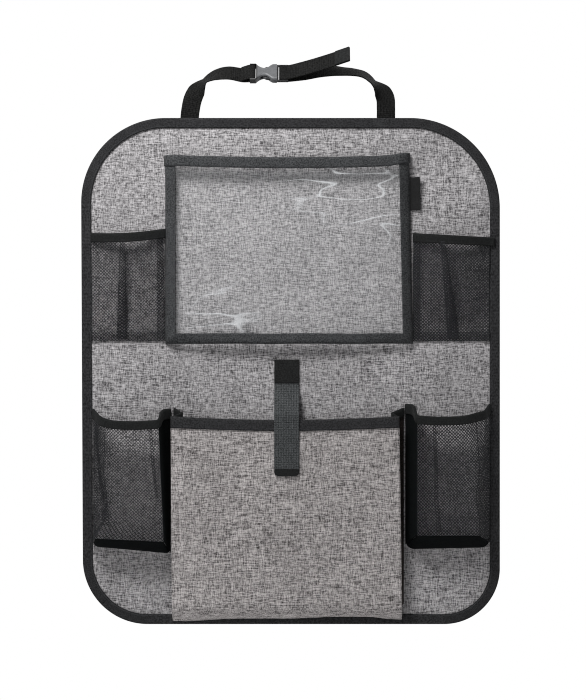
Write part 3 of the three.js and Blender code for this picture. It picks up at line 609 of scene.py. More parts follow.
class Materials:
    """Every finish of the organizer."""

    def __init__(self) -> None:
        """Builds the finishes."""
        groups = Groups()
        self.cloth = ClothFinish("Melange cloth", (0.06, 0.057, 0.059), (0.64, 0.62, 0.63)).build(groups)
        # The centre pocket's cloth is the panel's melange made a little lighter: painted light where the
        # pocket stands out into the key light.
        self.lit_pocket_cloth = ClothFinish(
            "Pocket cloth painted lighter", (0.062, 0.056, 0.055), (0.67, 0.63, 0.622)).build(groups)
        self.binding = TapeFinish(
            "Binding tape", (0.001, 0.001, 0.0012), (0.046, 0.046, 0.0485), 0.9, 0.7, 0.2).build(groups)
        self.window_tape = TapeFinish(
            "Window tape", (0.003, 0.0035, 0.004), (0.098, 0.101, 0.105), 0.9, 0.7, 0.22).build(groups)
        self.pocket_tape = TapeFinish(
            "Pocket tape", (0.002, 0.0022, 0.0022), (0.015, 0.016, 0.016), 0.9, 0.7, 0.16).build(groups)
        self.webbing = TapeFinish(
            "Webbing", (0.002, 0.002, 0.002), (0.018, 0.018, 0.0175), 1.2, 1.5, 0.3, 0.75, 0.01,
            0.05).build(groups)
        self.closure = TapeFinish(
            "Closure webbing", (0.012, 0.0135, 0.0138), (0.088, 0.093, 0.096), 2.4, 2.6, 0.25).build(groups)
        self.anchor = TapeFinish(
            "Closure anchor", (0.001, 0.001, 0.001), (0.024, 0.0245, 0.0245), 0.8, 0.8, 0.2,
            0.8).build(groups)
        self.gusset = TapeFinish(
            "Gusset cloth", (0.001, 0.0013, 0.0014), (0.006, 0.0072, 0.0076), 1.0, 1.0, 0.2, 0.85, 0.0,
            0.05).build(groups)
        # The centre pocket's gussets are its grey cloth painted dark brown: painted shade deep between the
        # pockets.
        self.shaded_pocket_side = TapeFinish(
            "Centre gusset cloth painted shade", (0.007, 0.0055, 0.005), (0.05, 0.04, 0.037), 1.0, 1.0, 0.2, 0.85, 0.0,
            0.05).build(groups)
        self.label = TapeFinish(
            "Label ribbon", (0.003, 0.003, 0.003), (0.011, 0.011, 0.0115), 0.35, 2.0, 0.05,
            0.45).build(groups)
        self.net = ThreadFinish("Net thread", (0.0095, 0.01, 0.0115)).build()
        self.stitch = ThreadFinish("Sewing thread", (0.03, 0.031, 0.033)).build()
        self.pocket_stitch = ThreadFinish("Black sewing thread", (0.008, 0.008, 0.0085)).build()
        self.film = FilmFinish("Window film", (0.9, 0.92, 0.94), 0.045, 0.42).build()
        self.socket = PlasticFinish("Socket plastic", (0.083, 0.085, 0.089), 0.5, shaded_end=-34.2).build()
        self.plug = PlasticFinish("Plug plastic", (0.012, 0.012, 0.013), 0.38).build()


# Sewn pieces


@dataclass
class Tape:
    """A tape folded over the top edge of a wall, following the wall down on both sides."""

    width: float
    half: float
    length: float
    wave: float = 0.25
    columns: int = 60
    rows: int = 18

    @property
    def turn(self) -> float:
        """The length of the fold over the edge."""
        return math.pi * self.half

    @property
    def whole(self) -> float:
        """The tape's width, both legs and the fold."""
        return 2 * self.width + self.turn

    def place_on(self, wall: Place, height: float) -> Place:
        """The folded tape's surface: u along the edge, v from the front leg over to the back one.

        Args:
            wall: The wall's middle surface.
            height: The wall's height in millimetres.

        Returns:
            The tape's surface.
        """

        def place(u: float, v: float) -> Vector:
            """A point of the tape."""
            travel = v * self.whole
            if travel < self.width:
                down, out, over = self.width - travel, self.half, 0.0
            elif travel > self.width + self.turn:
                down, out, over = travel - self.width - self.turn, -self.half, 0.0
            else:
                angle = (travel - self.width) / self.half
                down, out, over = 0.0, self.half * math.cos(angle), self.half * math.sin(angle)
            share = 1 - down / height
            point = wall(u, share)
            normal = surface_normal(wall, u, share)
            wave = self.wave * ripple(u * self.length, down * 3, 14.0, 2.0)
            point += normal * (out + math.copysign(abs(wave) * 0.5, out) * (down > 0)) * MM
            point.z += over * MM
            return point

        return place

    def build(self, name: str, wall: Place, height: float) -> bpy.types.Object:
        """The tape's object.

        Args:
            name: The piece's name.
            wall: The wall's middle surface.
            height: The wall's height in millimetres.

        Returns:
            The object.
        """
        size = (self.length * MM, self.whole * MM)
        mesh = bent_grid(self.columns, self.rows, self.place_on(wall, height), size)
        return sheet_object(name, mesh, TAPE_THICKNESS)


@dataclass
class Stitching:
    """A row of short sewn stitches."""

    pitch: float = 3.2
    length: float = 2.3
    width: float = 0.55

    def along(self, name: str, lines: Iterable[Line], lengths: Iterable[float]) -> bpy.types.Object:
        """Stitches along several lines, as one piece.

        Args:
            name: The piece's name.
            lines: Each gives a point and a normal at a share of its length.
            lengths: Each line's length in millimetres.

        Returns:
            The object.
        """
        mesh = bmesh.new()
        for line, length in zip(lines, lengths):
            count = max(1, round(length / self.pitch))
            for index in range(count):
                middle = (index + 0.5) / count
                self.add_stitch(mesh, line, middle, 0.5 / count)
        return finish_object(name, mesh)

    def add_stitch(self, mesh: bmesh.types.BMesh, line: Line, middle: float, half_step: float) -> None:
        """Adds one stitch, laid along the line at a share of its length."""
        point, normal = line(middle)
        ahead, _ = line(min(1.0, middle + half_step))
        behind, _ = line(max(0.0, middle - half_step))
        along = (ahead - behind).normalized()
        side = normal.cross(along).normalized()
        turn = Matrix((along, side, normal)).transposed().to_4x4()
        size = Matrix.Diagonal((self.length * MM / 2, self.width * MM / 2, self.width * MM * 0.42, 1.0))
        made = bmesh.ops.create_uvsphere(
            mesh, u_segments=6, v_segments=4, radius=1.0, matrix=Matrix.Rotation(math.pi / 2, 4, "Y"))
        bmesh.ops.transform(mesh, matrix=Matrix.Translation(point) @ turn @ size, verts=made["verts"])


def wall_line(wall: Place, height: float, down: float, out: float) -> Line:
    """A line across a wall, for stitches.

    Args:
        wall: The wall's middle surface.
        height: The wall's height in millimetres.
        down: Millimetres below its top edge.
        out: Millimetres in front of its middle surface.

    Returns:
        The line.
    """

    def line(t: float) -> tuple[Vector, Vector]:
        """A point of the line and its normal."""
        u = mix(0.01, 0.99, t)
        share = 1 - down / height
        normal = surface_normal(wall, u, share)
        return wall(u, share) + normal * out * MM, normal

    return line


@dataclass
class Net:
    """Knitted net of diamond meshes."""

    pitch: float = 3.3
    strand: float = 0.6
    thickness: float = 0.35

    @property
    def cover(self) -> float:
        """The share of the net's area that thread and knots take, their sides counted."""
        side = self.pitch / math.sqrt(2)
        hole = side - self.strand
        return min(1.0, 1 - (hole / side) ** 2 + 2 * hole * self.thickness / side ** 2)

    def build(self, name: str, width: float, height: float, place: Place) -> bpy.types.Object:
        """A sheet of net on a surface.

        Args:
            name: The piece's name.
            width: Its flat width in millimetres.
            height: Its flat height in millimetres.
            place: The surface.

        Returns:
            The object.
        """
        columns, rows = round(width / self.pitch), round(height / self.pitch)
        mesh = bmesh.new()
        bmesh.ops.create_grid(mesh, x_segments=columns, y_segments=rows, size=0.5)
        bmesh.ops.scale(mesh, vec=(width, height, 1.0), verts=mesh.verts)
        corners = set(mesh.verts)
        bmesh.ops.poke(mesh, faces=mesh.faces[:])
        old = [e for e in mesh.edges if e.verts[0] in corners and e.verts[1] in corners and not e.is_boundary]
        bmesh.ops.dissolve_edges(mesh, edges=old, use_verts=False)
        meshes = mesh.faces[:]
        bmesh.ops.inset_individual(mesh, faces=meshes, thickness=self.strand / 2, use_even_offset=True)
        bmesh.ops.delete(mesh, geom=meshes, context="FACES_ONLY")
        for vertex in mesh.verts:
            vertex.co = place(vertex.co.x / width + 0.5, vertex.co.y / height + 0.5)
        return sheet_object(name, mesh, self.thickness)


# The panel


def rim_point(side: int, along: float, inset: float) -> tuple[float, float]:
    """A point on one side of the panel's outline, moved inward.

    Args:
        side: 0 bottom, 1 right, 2 top, 3 left.
        along: Share of the side, from the middle of one corner to the middle of the next.
        inset: Millimetres inward.

    Returns:
        Millimetres across and up.
    """
    signs = ((-1, -1), (1, -1), (1, 1), (-1, 1))

    def corner(index: int, angle: float) -> tuple[float, float]:
        """A point on a corner's arc."""
        radius = CORNER_RADII[index]
        reach = radius - inset
        x = signs[index][0] * (PANEL_WIDTH / 2 - radius - CORNER_SHIFTS[index]) + reach * math.cos(angle)
        z = signs[index][1] * (PANEL_HEIGHT / 2 - radius) + reach * math.sin(angle)
        return x, z

    first, last = side, (side + 1) % 4
    outward = -math.pi / 2 + side * math.pi / 2
    if along < 0.25:
        return corner(first, outward - math.pi / 4 * (1 - along * 4))
    if along > 0.75:
        return corner(last, outward + math.pi / 4 * (along * 4 - 3))
    a, b = corner(first, outward), corner(last, outward)
    t = along * 2 - 0.5
    return mix(a[0], b[0], t), mix(a[1], b[1], t)


def rim_at(t: float, inset: float) -> tuple[float, float]:
    """The point at a share of the whole outline."""
    travel = (t % 1.0) * 4
    side = min(3, int(travel))
    return rim_point(side, travel - side, inset)


@dataclass
class SeatPanel:
    """The padded cloth panel and the tape folded round its edge."""

    steps: int = 96
    pressed_back: float = 1.0
    pressed_front: float = 2.2
    taper: float = 9.0
    relief: float = 0.55
    outline: float = 1800.0

    def square_to_panel(self, x: float, y: float) -> tuple[float, float, float]:
        """Maps a point of a square grid onto the panel.

        Args:
            x: From -1 to 1.
            y: From -1 to 1.

        Returns:
            Millimetres across and up, and how far it is pressed by the binding, from 0 to 1.
        """
        ring = max(abs(x), abs(y))
        if ring < 1e-6:
            return 0.0, 0.0, 0.0
        side = 0 if y <= -ring + 1e-6 else 1 if x >= ring - 1e-6 else 2 if y >= ring - 1e-6 else 3
        along = ((x, y, -x, -y)[side] / ring + 1) / 2
        grip = 0.08
        if ring > 1 - grip:
            inset = BINDING_WIDTH * 1.1 * (1 - ring) / grip
            px, pz = rim_point(side, along, inset)
            return px, pz, 1.0
        px, pz = rim_point(side, along, BINDING_WIDTH * 1.1)
        scale = ring / (1 - grip)
        away = (1 - scale) * PANEL_WIDTH / 2
        return px * scale, pz * scale, 1 - ease(away, 0.0, self.taper)

    def build(self, materials: Materials) -> None:
        """Builds the panel, its binding and the binding's stitches."""
        self.build_cloth(materials)
        self.build_binding(materials)

    def build_cloth(self, materials: Materials) -> None:
        """The cloth: a front and a back grid, bridged round the rim."""
        mesh = bmesh.new()
        fronts = bmesh.ops.create_grid(mesh, x_segments=self.steps, y_segments=self.steps, size=1.0)["verts"]
        rim = [e for e in mesh.edges if e.is_boundary]
        copied = bmesh.ops.duplicate(mesh, geom=mesh.faces[:])
        backs = [v for v in copied["geom"] if isinstance(v, bmesh.types.BMVert)]
        back_faces = [f for f in copied["geom"] if isinstance(f, bmesh.types.BMFace)]
        back_rim = [e for e in copied["geom"] if isinstance(e, bmesh.types.BMEdge) and e.is_boundary]
        bmesh.ops.reverse_faces(mesh, faces=back_faces)
        for vertex in fronts:
            vertex.co = self.face_point(vertex.co, True)
        for vertex in backs:
            vertex.co = self.face_point(vertex.co, False)
        bmesh.ops.bridge_loops(mesh, edges=rim + back_rim)
        bmesh.ops.recalc_face_normals(mesh, faces=mesh.faces)
        piece = finish_object("panel_cloth", mesh)
        dress(piece, materials.cloth, Slot.CLOTH, "back_panel")

    def face_point(self, grid: Vector, front: bool) -> Vector:
        """A point of the panel's front or back face, in metres."""
        x, z, pressed = self.square_to_panel(grid.x, grid.y)
        if not front:
            return Vector((x, -self.pressed_back * pressed, z)) * MM
        flat = mix(-PANEL_FRONT, self.pressed_front, pressed)
        wave = ripple(x, z, 70.0, 3.0) * self.relief + ripple(x, z, 24.0, 8.0) * self.relief * 0.35
        return Vector((x, -flat - wave * (1 - pressed) * 0.6, z)) * MM

    def build_binding(self, materials: Materials) -> None:
        """The tape round the edge, with a soft wave along its inner edge."""
        leg = BINDING_WIDTH
        front, back = -PANEL_FRONT + 0.1, 0.35
        turn = (front - back) / 2
        whole = 2 * leg + math.pi * turn

        def place(u: float, v: float) -> Vector:
            """A point of the tape: u round the rim, v from the front leg to the back one."""
            travel = v * whole
            wobble = 0.35 * ripple(u * self.outline, 0.0, 40.0, 5.0)
            if travel < leg:
                inset, depth = leg - travel, front
                inset += wobble * inset / leg
                depth += 0.12 * ripple(u * self.outline, travel, 6.0, 1.0) - 0.5 * ease(inset, 8.0, 10.8)
            elif travel > leg + math.pi * turn:
                inset, depth = travel - leg - math.pi * turn, back
            else:
                angle = (travel - leg) / turn
                inset, depth = -turn * 0.45 * math.sin(angle), back + turn + turn * math.cos(angle)
            x, z = rim_at(u, inset)
            return Vector((x, -depth, z)) * MM

        mesh = bent_grid(420, 22, place, (self.outline * MM, whole * MM))
        bmesh.ops.remove_doubles(mesh, verts=mesh.verts, dist=1e-6)
        piece = sheet_object("rim_binding", mesh, TAPE_THICKNESS)
        dress(piece, materials.binding, Slot.TAPE, "panel_binding")

        def seam(t: float) -> tuple[Vector, Vector]:
            """The row of stitches near the binding's inner edge."""
            x, z = rim_at(t, BINDING_WIDTH - 1.6)
            return Vector((x, -front - 0.3, z)) * MM, Vector((0, -1, 0))

        stitches = Stitching(pitch=3.4).along("rim_stitches", [seam], [self.outline - 10.0])
        dress(stitches, materials.stitch, Slot.TAPE)


# Window pocket


@dataclass
class WindowPocket:
    """Clear film in black tape on the upper panel, open at its top."""

    left: float = 128.7
    right: float = 121.7
    flare: float = 4.4
    top: float = 221.5
    bottom: float = 28.4
    tape: float = 10.3
    rise: float = 9.0
    fullness: float = 0.45
    droop: float = 2.6
    curl: float = 2.5
    seat: float = 0.65
    mouth_seat: float = 2.9
    film_size: tuple[float, float] = (0.236, 0.184)
    label_top: float = 199.0
    label_height: float = 34.0
    label_reach: float = 12.0

    def right_at(self, z: float) -> float:
        """The right edge at a height."""
        return self.right + self.flare * (self.top - z) / (self.top - self.bottom)

    def top_at(self, x: float) -> float:
        """The height of the free top edge."""
        t = (x + self.left) / (self.right + self.left)
        return self.top - self.droop * math.sin(math.pi * t) + self.curl * ease(t, 0.9, 1.0)

    def stand_off(self, x: float, z: float) -> float:
        """How far the tapes stand off the panel."""
        seat = mix(self.seat, self.mouth_seat, ease(z, self.top - 48, self.top - 15))
        inward = min(x + self.left, self.right_at(z) - x, z - self.bottom)
        return seat + self.rise * min(1.0, max(0.0, inward / self.tape)) ** self.fullness

    def film_point(self, u: float, v: float) -> Vector:
        """A point of the film."""
        level = mix(self.bottom + self.tape - 2, self.top - 1, v)
        left, right = -self.left + self.tape - 1, self.right_at(level) - self.tape + 1
        x = mix(left, right, u)
        z = level + (self.top_at(x) - self.top) * ease(level, self.top - 60, self.top - 15)
        inner = min(1.0, 12 * min(u, 1 - u, v, 1 - v))
        buckle = ripple(x * 0.6 + z * 0.5, z * 0.7 - x * 0.2, 42.0, 4.0) * 0.9
        crease = abs(ripple(x + z * 0.6, z * 0.5, 16.0, 9.0)) * 0.5
        return off_panel(x, z, self.stand_off(x, z) - 1.45 + (buckle - crease) * inner)

    def side_point(self, right: bool) -> Place:
        """The surface of the left or right tape."""

        def place(u: float, v: float) -> Vector:
            """A point of the tape."""
            z = mix(self.bottom + self.tape * 0.6, self.top - 3.5, v)
            x = self.right_at(z) - (1 - u) * self.tape if right else -self.left + u * self.tape
            wave = 0.3 * ripple(x, z, 26.0, 7.0 if right else 6.0)
            return off_panel(x + wave, z, self.stand_off(x, z) + wave * 0.5)

        return place

    def bottom_point(self, u: float, v: float) -> Vector:
        """A point of the bottom tape, which bows off the panel in its middle."""
        x = mix(-self.left, self.right_at(self.bottom), u)
        z = self.bottom + v * self.tape
        bow = 7.6 * math.sin(math.pi * u) ** 0.6 * (1 - v * 0.9)
        return off_panel(x, z + 0.4 * ripple(x, 0.0, 40.0, 3.0), self.stand_off(x, z) + bow)

    def top_wall(self, u: float, v: float) -> Vector:
        """The part of the film under the top tape, over the whole width of the pocket."""
        x = mix(-self.left, self.right, u)
        z = self.top_at(x) - 1 - (1 - v) * self.tape
        return off_panel(x, z, self.stand_off(x, min(z, self.top)) - 0.35)

    def build(self, materials: Materials) -> None:
        """Builds the film, the four tapes, the stitches and the label."""
        film = sheet_object("window_film", bent_grid(90, 72, self.film_point, self.film_size), 0.3)
        dress(film, materials.film, Slot.FILM, "tablet_window")
        height = (self.top - self.bottom) * MM
        for name, right, node in (("window_left_tape", False, "tablet_left_tape"),
                                  ("window_right_tape", True, "tablet_right_tape")):
            mesh = turned_uv(bent_grid(8, 60, self.side_point(right), (self.tape * MM, height)))
            piece = sheet_object(name, mesh, 1.1, 0.3)
            dress(piece, materials.window_tape, Slot.TAPE, node)
        mesh = bent_grid(90, 14, self.bottom_point, (0.253, self.tape * MM))
        low = sheet_object("window_bottom_tape", mesh, 1.1, 0.3)
        dress(low, materials.window_tape, Slot.TAPE, "tablet_bottom_tape")
        high = Tape(width=self.tape, half=1.5, length=252.0, columns=90).build(
            "window_top_tape", self.top_wall, self.tape + 1)
        dress(high, materials.window_tape, Slot.TAPE, "tablet_top_tape")
        self.build_label(materials)
        seams = self.build_stitches(materials)

    def build_label(self, materials: Materials) -> None:
        """The bare ribbon label, folded and caught under the right tape."""

        def place(u: float, v: float) -> Vector:
            """A point of the label."""
            z = self.label_top - (1 - v) * self.label_height + 1.2 * u
            edge = self.right_at(z)
            curl = 1.6 * u * u + 0.4 * ripple(u * 10, z, 12.0, 2.0)
            return off_panel(edge - 1 + u * self.label_reach, z, self.stand_off(edge, z) + 0.4 + curl)

        size = (self.label_reach * MM, self.label_height * MM)
        piece = sheet_object("bare_label", bent_grid(14, 24, place, size), 0.9, 0.35)
        dress(piece, materials.label, Slot.LABEL, "side_label")

    def build_stitches(self, materials: Materials) -> bpy.types.Object:
        """A row of stitches on each tape, as one piece."""

        def on_side(right: bool) -> Line:
            """The stitch line of a side tape."""
            place = self.side_point(right)

            def line(t: float) -> tuple[Vector, Vector]:
                """A point of the line and its normal."""
                u, v = (0.22 if right else 0.78), mix(0.05, 0.95, t)
                normal = surface_normal(place, u, v)
                return place(u, v) + normal * 0.65 * MM, normal

            return line

        def on_bottom(t: float) -> tuple[Vector, Vector]:
            """A point of the bottom tape's stitch line and its normal."""
            u = mix(0.03, 0.97, t)
            normal = surface_normal(self.bottom_point, u, 0.8)
            return self.bottom_point(u, 0.8) + normal * 0.65 * MM, normal

        top = wall_line(self.top_wall, self.tape + 1, self.tape - 1.8, 1.95)
        lines = [on_side(False), on_side(True), on_bottom, top]
        piece = Stitching().along("window_stitches", lines, [180.0, 180.0, 240.0, 245.0])
        return dress(piece, materials.stitch, Slot.TAPE)


def turned_uv(mesh: bmesh.types.BMesh) -> bmesh.types.BMesh:
    """Swaps a sheet's UVs, so that a tape's ribs cross its length."""
    layer = mesh.loops.layers.uv.active
    for face in mesh.faces:
        for loop in face.loops:
            loop[layer].uv = (loop[layer].uv.y, loop[layer].uv.x)
    return mesh


# Net pockets


@dataclass(frozen=True)
class Pleat:
    """A pressed fold of net: where it runs, and how wide it is at its foot and its head."""

    foot: float
    head: float
    foot_width: float
    head_width: float
    low: float = 0.02
    high: float = 0.95
    layers: int = 2

    def across(self, v: float) -> float:
        """Where the middle of the pleat is at a share of its length."""
        return mix(self.foot, self.head, v)

    def layer(self, wall: Place, span: float, index: int) -> Place:
        """One layer of the pleat, laid on the wall.

        Args:
            wall: The wall's surface, whose u covers the span.
            span: The wall's width in millimetres.
            index: The layer's number from the wall.

        Returns:
            The layer's surface.
        """

        def place(u: float, v: float) -> Vector:
            """A point of the layer."""
            width = mix(self.foot_width, self.head_width, v)
            share = self.across(v) + (u - 0.5 + 0.07 * index) * width / span
            share = min(1.0, max(0.0, share))
            height = mix(self.low, self.high, v)
            return wall(share, height) + surface_normal(wall, share, height) * 0.6 * (index + 1) * MM

        return place

    def build(self, name: str, net: Net, wall: Place, span: float, height: float) -> list[bpy.types.Object]:
        """The pleat's layers.

        Args:
            name: The start of their names.
            net: The net that they are made of.
            wall: The wall that they lie on.
            span: The wall's width in millimetres.
            height: The wall's height in millimetres.

        Returns:
            The objects.
        """
        width = (self.foot_width + self.head_width) / 2
        long = height * (self.high - self.low)
        return [net.build(f"{name}_{index + 1}", width, long, self.layer(wall, span, index))
                for index in range(self.layers)]


@dataclass
class UpperPocket:
    """A flat net pocket beside the window pocket."""

    name: str
    start: float
    end: float
    pleats: tuple[Pleat, ...]
    tilt: float
    droop: float
    strand: float
    puff: float = 9.0
    bottom: float = 31.0
    height: float = 110.0
    tape: float = 8.2
    hem: float = 9.5
    past_rim: float = 0.0

    @property
    def width(self) -> float:
        """The pocket's width in millimetres."""
        return self.end - self.start

    def wall(self, u: float, v: float) -> Vector:
        """The net's middle surface."""
        inside = min(1.0, max(0.0, u))
        x = mix(self.start, self.end, u)
        z = self.bottom + v * (self.height + self.tilt * u - self.droop * math.sin(math.pi * inside))
        seat = mix(0.7, 1.7, ease(v, 0.6, 0.85))
        belly = self.puff * math.sin(math.pi * inside) * ease(v, 0.0, 0.75)
        main = self.pleats[0]
        away = (u - main.across(v)) * self.width
        fold = math.exp(-(away / (main.foot_width * 0.45)) ** 2) * 1.1
        slack = 0.8 * ripple(x, z, 22.0, 5.0) * math.sin(math.pi * min(1.0, max(0.0, v)))
        return off_panel(x, z, seat + belly + (fold + slack) * (ease(v, 0.0, 0.3) - ease(v, 0.72, 0.9)))

    def hem_layer(self, u: float, v: float) -> Vector:
        """The net's bottom edge, turned up double."""
        return self.wall(u, v * self.hem / self.height) + Vector((0, -0.7 * MM, 0))

    def build(self, materials: Materials) -> None:
        """Builds the net, its pleats and hem, its top tape and its stitches."""
        net = Net(strand=self.strand)
        shown = 1 - self.tape * 0.6 / self.height
        body = net.build(f"{self.name}_mesh", self.width, self.height * shown,
                         lambda u, v: self.wall(u, v * shown))
        dress(body, materials.net, Slot.NET, f"{self.name}_net")
        layers = [net.build(f"{self.name}_hem", self.width, self.hem, self.hem_layer)]
        for number, pleat in enumerate(self.pleats):
            layers += pleat.build(f"{self.name}_pleat_{number + 1}", net, self.wall, self.width, self.height)
        for layer in layers:
            dress(layer, materials.net, Slot.NET)
        tape = Tape(width=self.tape, half=0.9, length=self.width + self.past_rim)
        stretch = 1 + self.past_rim / self.width

        def edge(u: float, v: float) -> Vector:
            """The top of the wall, carried past the binding where the tape is."""
            return self.wall(u * stretch, v)

        top = tape.build(f"{self.name}_top_tape", edge, self.height)
        dress(top, materials.pocket_tape, Slot.TAPE, f"{self.name}_tape")
        seam = Stitching(pitch=3.0).along(
            f"{self.name}_stitches", [wall_line(edge, self.height, self.tape - 1.6, 1.35)], [self.width])
        dress(seam, materials.pocket_stitch, Slot.TAPE)
        self.width
        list(layers)


def declare_folded(place: Place) -> None:
    """Measures the flat width and height of a folded sheet of cloth along its own surface; nothing is done
    with them.

    Args:
        place: Its surface.
    """
    steps = 40

    def length(line: Callable[[float], Vector]) -> float:
        """The length of a line on the surface."""
        points = [line(index / steps) for index in range(steps + 1)]
        return sum((b - a).length for a, b in zip(points, points[1:]))

    shares = (0.0, 0.25, 0.5, 0.75, 1.0)
    width = max(length(lambda t, s=s: place(t, s)) for s in shares)
    height = max(length(lambda t, s=s: place(s, t)) for s in shares)
    columns = [[place(i / steps, j / steps) for j in range(steps + 1)] for i in range(steps + 1)]


@dataclass
class LowerPocket:
    """A gusseted net pocket in a lower corner of the panel; pairs run from its outer side inward."""

    name: str
    outer: float
    inner: float
    front_outer: float
    front_inner: tuple[float, float]
    top: float
    seam_top: float
    bottom: tuple[float, float]
    foot: tuple[float, float]
    soft_corner: float
    foot_out: float
    belly: float
    strand: float
    pleats: tuple[Pleat, ...] = ()
    corner: float = 5.0
    fold: float = 2.5
    depth: float = 24.0
    side: float = 25.0
    tape: float = 7.8

    @property
    def outward(self) -> float:
        """-1 for the left pocket and 1 for the right one."""
        return math.copysign(1.0, self.outer)

    @property
    def front_width(self) -> float:
        """The front's width in millimetres."""
        return abs(self.front_outer - self.front_inner[0])

    @property
    def reach(self) -> float:
        """The length of the whole wall in millimetres: gusset, front and gusset."""
        return self.front_width + 2 * self.side

    def front(self, t: float, v: float) -> Vector:
        """The front before its corners are softened; t runs from the outer side to the inner one."""
        z = mix(-mix(*self.foot, t), -self.top - 1.5 * math.sin(math.pi * t), v)
        below = math.sin(math.pi * min(1.0, max(0.0, v) / 0.93))
        belly = self.belly * math.sin(math.pi * t) * below
        slack = 1.5 * ripple(t * 62, z, 24.0, 4.0 + self.outward) * below
        pulled = self.outward * self.foot_out * (1 - ease(v, 0.0, 0.16))
        folded = -self.outward * 4.0 * math.exp(-((v - 0.33) / 0.14) ** 2)
        x = mix(self.front_outer + pulled + folded, mix(*self.front_inner, 1 - v), t)
        return off_panel(x, z, self.depth + belly + slack)

    def seam(self, t: float, v: float) -> Vector:
        """Where a gusset is sewn to the panel: t is 0 at the outer side and 1 at the inner one."""
        low = -mix(*self.bottom, t) + self.corner - 4.0
        return off_panel(mix(self.outer, self.inner, t), mix(low, -self.seam_top, v),
                         mix(0.7, 1.7, ease(v, 0.7, 0.9)))

    def gusset(self, t: float, u: float, v: float) -> Vector:
        """A gusset before its corners are softened: u from the panel to the front."""
        seam, front = self.seam(t, v), self.front(t, v)
        point = seam.lerp(front, u)
        point.z = mix(seam.z, front.z, mix(u, u ** 4, v * t))
        crease = 1 - abs(2 * u - 1)
        point.x += self.outward * self.fold * crease * v * t * MM
        point.x += 1.4 * ripple(u * 24, point.z / MM, 17.0, 3.0) * crease * (1 - t) * MM
        return point

    def raw(self, s: float, v: float) -> Vector:
        """The wall at a distance from the outer seam, with sharp corners."""
        if s < self.side:
            return self.gusset(0.0, s / self.side, v)
        if s > self.reach - self.side:
            return self.gusset(1.0, (self.reach - s) / self.side, v)
        return self.front((s - self.side) / self.front_width, v)

    def wall(self, s: float, v: float) -> Vector:
        """The wall with soft corners: a mean over a window that narrows towards the seams.

        Args:
            s: Millimetres from the outer seam.
            v: Share of the height.

        Returns:
            The point.
        """
        height = min(1.0, max(0.0, v))
        soft = mix(3.0, self.soft_corner, ease(height, 0.45, 1.0))
        half = mix(soft, 3.0, ease(s, self.side + 0.4 * self.front_width, self.side + 0.8 * self.front_width))
        half = min(half, s, self.reach - s)
        if half < 0.05:
            return self.raw(min(self.reach, max(0.0, s)), height)
        taps = 9
        total = Vector((0.0, 0.0, 0.0))
        for tap in range(taps):
            total += self.raw(s + half * (2 * tap / (taps - 1) - 1), height)
        return total / taps

    def part(self, start: float, end: float) -> Place:
        """The stretch of the wall between two distances, with u from left to right."""

        def place(u: float, v: float) -> Vector:
            """A point of the stretch."""
            t = u if self.outward < 0 else 1 - u
            return self.wall(mix(start, end, t), v)

        return place

    def floor(self, u: float, v: float) -> Vector:
        """The pocket's bottom, from the panel to the front, with rounded ends."""
        from_end = min(u, 1 - u) * abs(self.outer - self.inner)
        lift = self.corner * (1 - math.sqrt(max(0.0, 1 - (1 - min(1.0, from_end / self.corner)) ** 2)))
        seam = off_panel(mix(self.outer, self.inner, u), -mix(*self.bottom, u) + lift, 0.7)
        edge = self.wall(self.side + u * self.front_width, 0.0)
        point = seam.lerp(edge, v)
        point.z -= 1.6 * math.sin(math.pi * v) * MM
        return point

    def build(self, materials: Materials) -> None:
        """Builds the front, the gussets, the floor and the tape round the mouth."""
        height = sum(self.foot) / 2 - self.top
        net = Net(strand=self.strand)
        inner_corner = self.reach - self.side
        body = net.build(f"{self.name}_mesh", self.front_width, height, self.part(self.side, inner_corner))
        dress(body, materials.net, Slot.NET, f"{self.name}_net")
        layers = []
        for number, pleat in enumerate(self.pleats):
            layers += pleat.build(f"{self.name}_fold_{number + 1}", net, self.part(0.0, inner_corner),
                                  inner_corner, height)
        for layer in layers:
            dress(layer, materials.net, Slot.NET)
        outer = net.build(f"{self.name}_outer_side", self.side, height + 8, self.part(0.0, self.side))
        dress(outer, materials.net, Slot.NET, f"{self.name}_outer_gusset")
        side = self.part(inner_corner, self.reach)
        for name, node, place, columns, rows, size in (
                ("inner_side", "inner_gusset", side, 18, 60, (self.side * MM, 0.14)),
                ("base", "floor", self.floor, 48, 12, (0.08, 0.027))):
            cloth = sheet_object(f"{self.name}_{name}", bent_grid(columns, rows, place, size), 0.7)
            dress(cloth, materials.gusset, Slot.NET, f"{self.name}_{node}")
            declare_folded(place)
        tape = Tape(width=self.tape, half=0.95, length=self.reach, columns=150)
        top = tape.build(f"{self.name}_top_tape", self.part(0.0, self.reach), height)
        dress(top, materials.pocket_tape, Slot.TAPE, f"{self.name}_tape")
        self.front_width
        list(layers)


# Centre pocket


